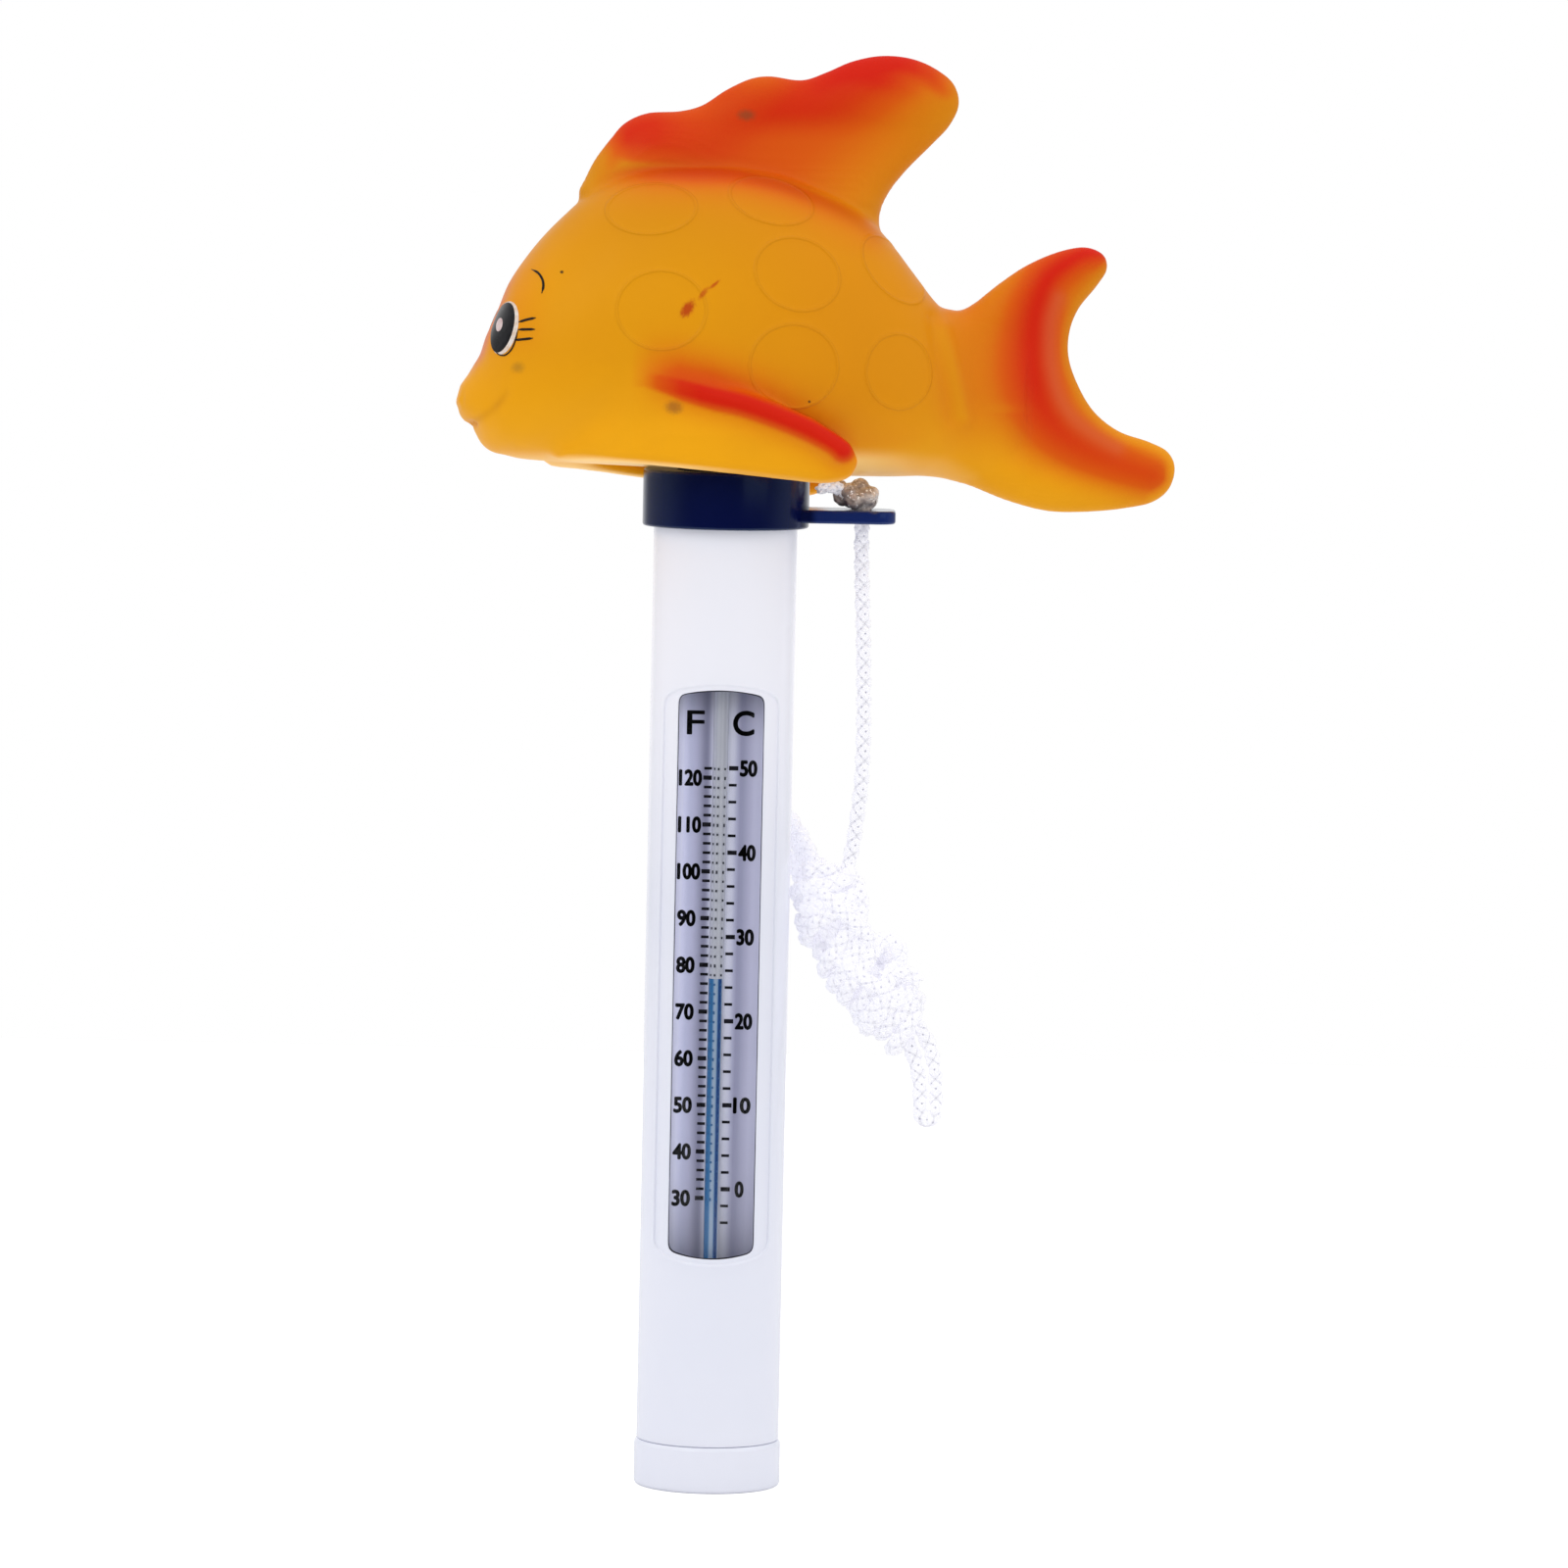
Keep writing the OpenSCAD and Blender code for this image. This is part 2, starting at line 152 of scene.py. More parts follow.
def lathe(profile, count, axis=(0.0, 0.0)):
    """Closed (radius, z) profile turned about a vertical axis, which its points may touch."""
    angles = np.arange(count) * 2 * np.pi / count
    points, rings = [], []
    for radius, z in profile:
        if abs(radius) < 1e-6:
            rings.append(np.full(count, len(points)))
            points.append([axis[0], axis[1], z])
        else:
            rings.append(len(points) + np.arange(count))
            points += [[axis[0] + radius * math.cos(angle), axis[1] + radius * math.sin(angle), z]
                       for angle in angles]
    quads, tris = [], []
    for i, ring in enumerate(rings):
        other = rings[(i + 1) % len(rings)]
        ring_next, other_next = np.roll(ring, -1), np.roll(other, -1)
        ring_on_axis, other_on_axis = ring[0] == ring[1], other[0] == other[1]
        if ring_on_axis and other_on_axis:
            continue
        if ring_on_axis:
            tris.append(np.stack([ring, other_next, other], 1))
        elif other_on_axis:
            tris.append(np.stack([ring, ring_next, other], 1))
        else:
            quads.append(np.stack([ring, ring_next, other_next, other], 1))
    return np.array(points), [np.concatenate(faces) for faces in (quads, tris) if faces]


def hermite(t, start, end, start_slope, end_slope):
    return ((2 * t ** 3 - 3 * t ** 2 + 1) * start + (t ** 3 - 2 * t ** 2 + t) * start_slope
            + (-2 * t ** 3 + 3 * t ** 2) * end + (t ** 3 - t ** 2) * end_slope)


def monotone(x, stations, values):
    """Monotone smooth curve through the stations, held flat outside them."""
    stations, values = np.asarray(stations, float), np.asarray(values, float)
    gaps = np.diff(stations)
    rates = np.diff(values) / gaps
    slopes = np.zeros(len(stations))
    same = rates[:-1] * rates[1:] > 0
    weight_1, weight_2 = 2 * gaps[1:] + gaps[:-1], gaps[1:] + 2 * gaps[:-1]
    divisor = np.where(same, weight_1 / np.where(rates[:-1] == 0, 1, rates[:-1])
                       + weight_2 / np.where(rates[1:] == 0, 1, rates[1:]), 1)
    slopes[1:-1] = np.where(same, (weight_1 + weight_2) / divisor, 0)
    slopes[0], slopes[-1] = rates[0], rates[-1]
    x = np.clip(x, stations[0], stations[-1])
    i = np.clip(np.searchsorted(stations, x) - 1, 0, len(gaps) - 1)
    return hermite((x - stations[i]) / gaps[i], values[i], values[i + 1],
                   gaps[i] * slopes[i], gaps[i] * slopes[i + 1])


def spline(control, step, closed=False):
    """Centripetal curve through points, resampled evenly by length; extra columns follow."""
    control = np.asarray(control, float)
    count, dims = len(control), min(3, control.shape[1])
    dense = []
    for i in range(count if closed else count - 1):
        start, end = control[i], control[(i + 1) % count]
        before = control[i - 1] if closed or i > 0 else 2 * start - end
        after = control[(i + 2) % count] if closed or i + 2 < count else 2 * end - start
        gap_1, gap_2, gap_3 = (max(np.linalg.norm(leg[:dims]), 1e-6) ** 0.5
                               for leg in (start - before, end - start, after - end))
        start_slope = (end - start) + gap_2 * ((start - before) / gap_1
                                               - (end - before) / (gap_1 + gap_2))
        end_slope = (end - start) + gap_2 * ((after - end) / gap_3
                                             - (after - start) / (gap_2 + gap_3))
        for t in np.linspace(0, 1, 24, endpoint=False):
            dense.append(hermite(t, start, end, start_slope, end_slope))
    dense.append(control[0] if closed else control[-1])
    dense = np.array(dense)
    run = arc_length(dense[:, :dims])
    even = np.linspace(0, run[-1], max(4, int(round(run[-1] / step))) + 1)
    points = np.stack([np.interp(even, run, column) for column in dense.T], 1)
    return points[:-1] if closed else points


def frames(path):
    """Normal and binormal carried along a path without twist, and its tangent first."""
    tangent = unit(np.gradient(path, axis=0))
    normal = np.zeros_like(path)
    up = np.array((0.0, 1.0, 0.0))
    normal[0] = unit(up - (up @ tangent[0]) * tangent[0])
    for i in range(1, len(path)):
        normal[i] = unit(normal[i - 1] - (normal[i - 1] @ tangent[i]) * tangent[i])
    return tangent, normal, np.cross(tangent, normal)


def tube_along(path, half_width, half_thick, normal, side, sides, closed=False):
    """Tube of elliptical section: half_thick along normal, half_width along side."""
    count = len(path)
    angles = np.arange(sides) * 2 * np.pi / sides
    points = (path[:, None, :]
              + (half_thick[:, None] * np.cos(angles))[:, :, None] * normal[:, None, :]
              + (half_width[:, None] * np.sin(angles))[:, :, None] * side[:, None, :])
    points = points.reshape(-1, 3)
    faces = [ring_quads(count, sides, closed)]
    if not closed:
        centre = len(points)
        last = (count - 1) * sides
        points = np.concatenate([points, path[:1], path[-1:]])
        j = np.arange(sides)
        following = (j + 1) % sides
        faces.append(np.stack([following, j, np.full(sides, centre)], 1))
        faces.append(np.stack([last + j, last + following, np.full(sides, centre + 1)], 1))
    return points, faces


STRANDS, STRAND_SIDES = 8, 6
WEAVE = 0.17          # how far a strand rises and dips as it crosses the others
CORE_SHARE = 0.72     # radius of the filling core against the braid's


def braid(control, step=0.22, lay=6.0, radius=0.80, strand_w=0.43, strand_t=0.27,
          taper=(1.0, 1.0)):
    """Hollow-braid cord: half the strands turn each way and cross over. lay is the pitch."""
    path = spline(control, step)
    _, normal, side = frames(path)
    run = arc_length(path)
    size = np.interp(run, [0, 1.2, run[-1] - 1.2, run[-1]], [taper[0], 1, 1, taper[1]])
    owner = np.concatenate([np.repeat(np.arange(len(path)), STRAND_SIDES), [0, len(path) - 1]])
    half = STRANDS // 2
    parts = []
    for k in range(STRANDS):
        sign = 1 if k < half else -1
        start = 2 * np.pi * (k % half) / half + (0 if sign > 0 else np.pi / half)
        angle = sign * 2 * np.pi * run / lay + start
        weave = WEAVE * np.cos(STRANDS * np.pi * run / lay + (0 if sign > 0 else np.pi)
                               + (k % 2) * np.pi)
        outward = np.cos(angle)[:, None] * normal + np.sin(angle)[:, None] * side
        line = path + ((radius + weave) * size)[:, None] * outward
        tangent = unit(np.gradient(line, axis=0))
        across = unit(np.cross(tangent, outward))
        points, faces = tube_along(line, strand_w * size, strand_t * size,
                                   np.cross(across, tangent), across, STRAND_SIDES)
        # height of each point within the weave, for the painted shade between the yarn's strands
        depth = np.linalg.norm(points - path[owner], axis=1) / size[owner]
        lift = np.clip((depth - radius + 0.12) / (strand_t + 0.20), 0, 1)
        parts.append((np.column_stack([points, lift]), faces))
    # soft core so that no light passes between the strands
    core_radius = CORE_SHARE * radius * size
    points, faces = tube_along(path, core_radius, core_radius, normal, side, 8)
    parts.append((np.column_stack([points, np.zeros(len(points))]), faces))
    return merge(parts)


# ------------------------------------------------------------------ shader helper
PRINCIPLED = {"color": "Base Color", "rough": "Roughness", "specular": "Specular IOR Level",
              "normal": "Normal", "glow": "Emission Strength", "glow_color": "Emission Color",
              "coat": "Coat Weight", "coat_rough": "Coat Roughness", "metallic": "Metallic",
              "sheen": "Sheen Weight", "tint": "Specular Tint"}


class Net:
    """Nodes of one material or world. Inputs take numbers, colours or output sockets."""

    def __init__(self, owner, output="OutputMaterial"):
        owner.use_nodes = True
        self.owner, self.tree = owner, owner.node_tree
        self.tree.nodes.clear()
        self.output = self.node(output)

    def node(self, kind, inputs=None, **settings):
        node = self.tree.nodes.new("ShaderNode" + kind)
        for key, value in settings.items():
            setattr(node, key, value)
        for key, value in (inputs or {}).items():
            socket = node.inputs[key]
            if isinstance(value, bpy.types.NodeSocket):
                self.tree.links.new(value, socket)
            elif socket.type == "RGBA":
                socket.default_value = (*value, 1)
            else:
                socket.default_value = value
        return node

    def calc(self, operation, *values, clamp=False):
        return self.node("Math", dict(enumerate(values)), operation=operation,
                         use_clamp=clamp).outputs[0]

    def times(self, value, factor):
        return self.calc("MULTIPLY", value, factor)

    def plus(self, value, other):
        return self.calc("ADD", value, other)

    def minus(self, value, other):
        return self.calc("SUBTRACT", value, other)

    def times_plus(self, value, factor, offset):
        return self.calc("MULTIPLY_ADD", value, factor, offset)

    def mix(self, factor, base, top, blend="MIX"):
        return self.node("Mix", {0: factor, 6: base, 7: top}, data_type="RGBA",
                         blend_type=blend, clamp_factor=True).outputs[2]

    def remap(self, value, span, to=(0.0, 1.0), kind="SMOOTHSTEP"):
        """Carries value from the span to the range given by to."""
        return self.node("MapRange", {0: value, 1: span[0], 2: span[1], 3: to[0], 4: to[1]},
                         interpolation_type=kind).outputs[0]

    def noise(self, place, scale, detail):
        return self.node("TexNoise", {"Vector": place, "Scale": scale, "Detail": detail,
                                      "Roughness": 0.55}).outputs[0]

    def ramp(self, value, stops):
        """Colours over value; stops are (value, linear colour)."""
        low, high = stops[0][0], stops[-1][0]
        node = self.node("ValToRGB", {0: self.remap(value, (low, high), kind="LINEAR")})
        marks = node.color_ramp.elements
        marks[0].color, marks[1].color = (*stops[0][1], 1), (*stops[-1][1], 1)
        for place, color in stops[1:-1]:
            marks.new((place - low) / (high - low)).color = (*color, 1)
        return node.outputs[0]

    def place(self, kind="Object"):
        return self.node("TexCoord").outputs[kind]

    def stretch(self, place, scale):
        return self.node("Mapping", {"Vector": place, "Scale": scale}).outputs[0]

    def split(self, vector):
        return self.node("SeparateXYZ", {0: vector}).outputs

    def attribute(self, name):
        return self.node("Attribute", attribute_name=name).outputs

    def bump(self, height, strength, distance):
        return self.node("Bump", {"Strength": strength, "Distance": distance,
                                  "Height": height}).outputs[0]

    def facing(self, blend):
        return self.node("LayerWeight", {"Blend": blend}).outputs["Facing"]

    def blend(self, factor, first, second):
        return self.node("MixShader", {0: factor, 1: first.outputs[0], 2: second.outputs[0]})

    def principled(self, **inputs):
        return self.node("BsdfPrincipled", {PRINCIPLED[key]: v for key, v in inputs.items()})

    def finish(self, shader):
        self.tree.links.new(shader.outputs[0], self.output.inputs[0])
        return self.owner


def new_material(name):
    return Net(bpy.data.materials.new(name))


def srgb(red, green, blue):
    """Linear colour from 0..255 sRGB values."""
    shares = (level / 255.0 for level in (red, green, blue))
    return tuple(s / 12.92 if s <= 0.04045 else ((s + 0.055) / 1.055) ** 2.4 for s in shares)


# ------------------------------------------------------------------ materials
def plastic(name, color, color_2, rough, specular=0.5, grain=1440.0, bump=0.00001,
            patches=30.0, painted_light_zone=None, painted_glow=None, tint=None):
    """Moulded plastic. An optional (axis, colour, span) paints light in: the colour it turns to
    along an axis.
    An optional pair of numbers is a painted glow, the emission at the span's two ends."""
    net = new_material(name)
    place = net.place()
    cloud = net.noise(place, scale=patches, detail=4)
    fine = net.noise(place, scale=grain, detail=2)
    mixed = net.mix(net.remap(cloud, (0.3, 0.7)), color, color_2)
    # painted light: the colour turns lighter along an axis
    if painted_light_zone:
        axis, painted_light_color, span = painted_light_zone
        position = net.split(place)[axis]
        mixed = net.mix(net.remap(position, span), mixed, painted_light_color)
    shader = {"color": mixed, "specular": specular, "coat_rough": 0.08,
              "rough": net.remap(cloud, (0.2, 0.8), to=(rough - 0.06, rough + 0.06)),
              "normal": net.bump(fine, strength=0.35, distance=bump)}
    # painted glow along the same axis, though the plastic is no lamp
    if painted_glow:
        shader["glow_color"] = (0.62, 0.72, 1.0)
        shader["glow"] = net.remap(position, span, to=painted_glow)
    if tint:
        shader["tint"] = tint
    return net.finish(net.principled(**shader))


def steel():
    net = new_material("steel")
    streaks = net.noise(net.stretch(net.place(), (300.0, 300.0, 6000.0)), scale=1.0, detail=3)
    return net.finish(net.principled(
        color=net.mix(streaks, (0.36, 0.37, 0.39), (0.55, 0.56, 0.58)), metallic=1.0,
        rough=net.remap(streaks, (0.2, 0.8), to=(0.25, 0.45)),
        normal=net.bump(streaks, strength=0.3, distance=0.00002)))


def clear(name, tint, gloss, base):
    """Thin clear layer; reflection grows from base by gloss towards grazing angles."""
    net = new_material(name)
    cloud = net.noise(net.place(), scale=60, detail=2)
    paler = tuple(min(1, level * 1.01) for level in tint)
    through = net.node("BsdfTransparent", {"Color": net.mix(cloud, tint, paler)})
    shine = net.node("BsdfGlossy", {"Color": (1, 1, 1), "Roughness": 0.04})
    edge = net.calc("POWER", net.facing(blend=0.25), 3.0)
    share = net.calc("MULTIPLY_ADD", edge, gloss, base, clamp=True)
    return net.finish(net.blend(share, through, shine))


# card colour across it, with the stem's painted shadow and painted bright bands beside it: (x,
# sRGB)
CARD_LIGHT_ACROSS = [
    (-7.1, (212, 213, 228)), (-6.3, (206, 207, 224)), (-5.7, (214, 216, 236)),
    (-5.2, (202, 204, 228)), (-4.6, (182, 185, 210)), (-3.7, (170, 171, 196)),
    (-3.1, (152, 154, 177)), (-2.6, (134, 135, 158)), (-2.2, (124, 125, 148)),
    (-1.85, (134, 135, 158)), (-1.5, (172, 174, 194)), (-1.3, (194, 196, 210)),
    (1.1, (192, 195, 208)), (1.6, (204, 206, 219)), (2.1, (196, 198, 214)),
    (2.6, (166, 168, 190)), (3.1, (142, 143, 168)), (3.6, (144, 146, 170)),
    (4.4, (163, 164, 187)), (5.3, (181, 182, 203)), (6.2, (183, 184, 204)),
    (7.1, (210, 211, 225))]
# painted shade up the card, darker towards the window's ends: (z, share)
CARD_SHADE_UP = [(36.0, 0.50), (38.0, 0.60), (40.5, 0.70), (43.5, 0.80), (49, 0.90), (60, 0.97),
           (75, 1.0), (104, 1.0), (115, 0.97), (119, 0.86), (121.5, 0.62), (123.6, 0.45)]
# glass stem and spirit column colours across them: painted highlights and dark lines for the
# glass's reflection and refraction, over the spirit's blue: (x, sRGB)
STEM_LIGHT_ACROSS = [
    (-1.15, (186, 188, 200)), (-1.0, (206, 208, 220)), (-0.8, (196, 199, 210)),
    (-0.62, (184, 187, 199)), (-0.45, (194, 197, 206)), (-0.2, (190, 193, 202)),
    (0.0, (182, 185, 195)), (0.22, (192, 195, 202)), (0.42, (186, 189, 198)),
    (0.6, (178, 181, 190)), (0.78, (190, 193, 201)), (0.95, (202, 205, 212)),
    (1.15, (194, 196, 207))]
SPIRIT_LIGHT_ACROSS = [
    (-1.14, (104, 138, 176)), (-1.06, (66, 118, 168)), (-0.9, (50, 112, 164)),
    (-0.58, (46, 106, 158)), (-0.42, (72, 126, 172)), (-0.34, (134, 162, 190)),
    (-0.2, (156, 176, 198)), (0.05, (160, 178, 196)), (0.25, (140, 164, 188)),
    (0.36, (70, 110, 160)), (0.45, (20, 62, 122)), (0.72, (16, 56, 116)),
    (0.82, (52, 92, 144)), (0.92, (150, 170, 194)), (0.99, (190, 200, 214))]


def linear_stops(stops):
    return [(place, srgb(*color)) for place, color in stops]


def card():
    """Lavender-silver card with painted light: the stem's painted shadow and bright bands beside
    it, and painted shade towards its two ends.
    """
    net = new_material("card")
    place = net.place()
    axes = net.split(place)
    x, z = net.times(axes[0], 1000.0), net.times(axes[2], 1000.0)
    cloud = net.noise(place, scale=90, detail=3)
    color = net.ramp(x, linear_stops(CARD_LIGHT_ACROSS))
    shade = net.ramp(z, [(height, (share,) * 3) for height, share in CARD_SHADE_UP])
    color = net.mix(1.0, color, shade, blend="MULTIPLY")
    color = net.mix(net.times(cloud, 0.08), color, srgb(190, 190, 212))
    # painted light: the card glows faintly in its own colour
    return net.finish(net.principled(
        color=color, rough=0.45, specular=0.2, glow_color=color, glow=0.31,
        normal=net.bump(cloud, strength=0.2, distance=0.00001)))


def ink():
    net = new_material("scale_ink")
    cloud = net.noise(net.place(), scale=900, detail=3)
    return net.finish(net.principled(
        color=net.mix(cloud, (0.002, 0.002, 0.005), (0.010, 0.010, 0.018)),
        rough=net.remap(cloud, (0, 1), to=(0.4, 0.7)), specular=0.2))


def drawn_glass(name, stops, streak_scale, streak_amount, streak_color, rough, specular):
    """Painted highlights and dark lines, standing in for the glass's reflection and refraction,
    run along the stem, with faint streaks over them.
    """
    net = new_material(name)
    place = net.place()
    color = net.ramp(net.times(net.split(place)[0], 1000.0), linear_stops(stops))
    streaks = net.noise(net.stretch(place, streak_scale), scale=1.0, detail=2)
    color = net.mix(net.times(streaks, streak_amount), color, streak_color)
    return net.finish(net.principled(color=color, rough=rough, specular=specular))


def cord(name, valley_shade, valley_painted_glow):
    """White braided yarn, translucent at its edges, with a painted glow. The second argument is
    the grey of the painted shade between strands, the third the share of the painted glow that
    reaches there."""
    net = new_material(name)
    place = net.place()
    cloud = net.noise(place, scale=700, detail=3)
    fibre = net.noise(place, scale=5200, detail=2)
    lift = net.attribute("lift")["Fac"]
    raised = net.remap(lift, (0.05, 0.75))
    color = net.mix(cloud, (0.93, 0.93, 0.95), (0.97, 0.97, 0.98))
    # painted shade: grey in the valleys between the strands
    color = net.mix(raised, (valley_shade, valley_shade, valley_shade + 0.04), color)
    # painted glow over the yarn, less in the valleys and at its edges
    edge = net.calc("POWER", net.facing(blend=0.5), 3.0)
    glow = net.times(net.remap(lift, (0.05, 0.75), to=(valley_painted_glow, 1.0)),
                     net.times_plus(edge, -0.55, 1.0))
    yarn = net.principled(
        color=color, rough=0.5, specular=0.4, sheen=0.3,
        glow_color=(0.94, 0.93, 1.0), glow=net.times(glow, 0.235),
        normal=net.bump(fibre, strength=0.5, distance=0.00008))
    through = net.node("BsdfTranslucent", {"Color": (0.93, 0.93, 0.97)})
    return net.finish(net.blend(0.25, yarn, through))


def knot():
    """Cord melted to a glossy grey-cream bead, with small painted highlights that glow."""
    net = new_material("cord_knot")
    place = net.place()
    cloud = net.noise(place, scale=420, detail=4)
    dark = net.noise(place, scale=1300, detail=3)
    color = net.mix(net.remap(cloud, (0.38, 0.58)), srgb(168, 154, 148), srgb(232, 220, 212))
    color = net.mix(net.remap(dark, (0.55, 0.72), to=(0, 0.7)), color, srgb(96, 84, 80))
    # painted highlights: small near-white glints that glow
    painted_glints = net.remap(net.noise(place, scale=2100, detail=2), (0.60, 0.68))
    color = net.mix(painted_glints, color, srgb(252, 248, 246))
    return net.finish(net.principled(
        color=color, rough=0.14, specular=0.7, coat=0.5, coat_rough=0.05,
        glow_color=(1, 0.98, 0.97), glow=net.times(painted_glints, 0.22),
        normal=net.bump(cloud, strength=0.8, distance=0.00025)))


def paint(name, color, color_2, rough=0.3, specular=0.4):
    net = new_material(name)
    cloud = net.noise(net.place(), scale=900, detail=3)
    return net.finish(net.principled(
        color=net.mix(net.remap(cloud, (0.35, 0.7)), color, color_2), specular=specular,
        rough=net.remap(cloud, (0, 1), to=(rough - 0.05, rough + 0.05))))


SPIRIT_TOP = 79.3


def stem_marks():
    """Dark dots, blue where the spirit stands behind them."""
    net = new_material("stem_marks")
    place = net.place()
    z = net.times(net.split(place)[2], 1000.0)
    cloud = net.noise(place, scale=1500, detail=2)
    color = net.mix(cloud, srgb(34, 38, 46), srgb(66, 70, 78))
    color = net.mix(net.remap(z, (79.6, 79.0)), color, srgb(58, 100, 144))
    return net.finish(net.principled(color=color, rough=0.4, specular=0.2))


# scale rings moulded on the flank, in the fish's frame: centre x, z, half-axes, tilt
RINGS = [(-13.1, 38.7, 6.75, 4.05, 6), (5.2, 40.4, 6.45, 3.75, -12), (8.8, 28.9, 6.6, 5.55, -18),
         (24.2, 30.4, 6.3, 3.9, -45), (-11.9, 23.0, 6.75, 6.0, 0), (8.3, 14.9, 6.75, 6.3, 0),
         (24.7, 14.6, 5.25, 5.7, 0)]
# small paint faults on the -Y flank: the same ellipse, then softness, colour, amount, raggedness
FAULTS = [((-8.0, 23.2, 1.35, 0.75, 55), 0.5, (0.50, 0.03, 0.004), 0.85, 1.2),
          ((-5.6, 25.6, 1.0, 0.35, 52), 0.6, (0.56, 0.06, 0.004), 0.7, 1.0),
          ((-3.9, 27.0, 0.9, 0.22, 40), 0.6, (0.54, 0.04, 0.004), 0.75, 1.2),
          ((-33.2, 14.3, 0.8, 0.7, 0), 0.8, (0.30, 0.14, 0.02), 0.45, 0.8),
          ((2.2, 54.3, 1.2, 0.75, 0), 0.7, (0.26, 0.07, 0.02), 0.7, 0.8),
          ((-9.9, 8.3, 1.15, 0.85, -8), 0.7, (0.30, 0.09, 0.02), 0.62, 0.9),
          ((-26.7, 28.85, 0.24, 0.24, 0), 0.4, (0.03, 0.02, 0.01), 0.9, 0.2),
          ((10.8, 9.6, 0.2, 0.2, 0), 0.4, (0.05, 0.02, 0.01), 0.8, 0.2)]
SKIN, SKIN_TOP = (0.83, 0.345, 0.003), (0.725, 0.282, 0.002)
# the lower skin colour is lightened, painted light from below
SKIN_LIT_BELOW, SKIN_REAR = (0.97, 0.430, 0.006), (0.775, 0.280, 0.003)
SKIN_PATCH = (0.70, 0.26, 0.003)
# the third colour is pink blush, also used as a painted sheen
ORANGE, RED, PINK_BLUSH_SHEEN = (0.75, 0.110, 0.002), (0.70, 0.014, 0.002), (0.72, 0.15, 0.065)
# painted shade in creases and along the scale rings, and painted light on faces looking down
CREASE_SHADE, UNDERSIDE_LIGHT, RING_SHADE = (0.28, 0.02, 0.001), (1.0, 0.66, 0.26), (0.62, 0.22, 0.004)


def ellipse_reach(net, x, z, ellipse):
    """Distance from an ellipse's centre, 1 on its line."""
    centre_x, centre_z, half_a, half_b, tilt = ellipse
    cos, sin = math.cos(math.radians(tilt)), math.sin(math.radians(tilt))
    off_x, off_z = net.minus(x, centre_x), net.minus(z, centre_z)
    along = net.times_plus(off_x, cos / half_a, net.times(off_z, sin / half_a))
    across = net.times_plus(off_x, -sin / half_b, net.times(off_z, cos / half_b))
    return net.calc("SQRT", net.plus(net.times(along, along), net.times(across, across)))


def skin(net, x, z, cloud):
    """Vinyl colour before spraying, lighter low down as painted light from below, and darker
    towards the top and the rear.
    """
    color = net.mix(net.remap(z, (18, 2)), SKIN, SKIN_LIT_BELOW)
    color = net.mix(net.remap(z, (24, 40)), color, SKIN_TOP)
    rear = net.times(net.remap(x, (-16, 20)), net.remap(z, (0, 12), to=(0.25, 0.9)))
    color = net.mix(rear, color, SKIN_REAR)
    return net.mix(net.remap(cloud, (0.35, 0.75), to=(0, 0.12)), color, SKIN_PATCH)


def underside(net, x, z, orange):
    """Strength of the painted light and painted glow from below on unsprayed faces that look down
    near the belly.
    """
    normal_z = net.split(net.node("NewGeometry").outputs["Normal"])[2]
    under = net.times(net.remap(net.times(normal_z, -1.0), (0.45, 0.95)),
                      net.calc("SUBTRACT", 1.0, orange, clamp=True))
    lowered = net.plus(z, net.remap(x, (-27, -17), to=(1.2, 0.0)))
    under = net.times(under, net.remap(lowered, (3.6, 1.1), to=(0.0, 0.85)))
    under = net.times(under, net.remap(z, (-1.6, -0.4), to=(0.25, 1.0)))
    return net.times(under, net.remap(x, (18, 30), to=(1.0, 0.22)))


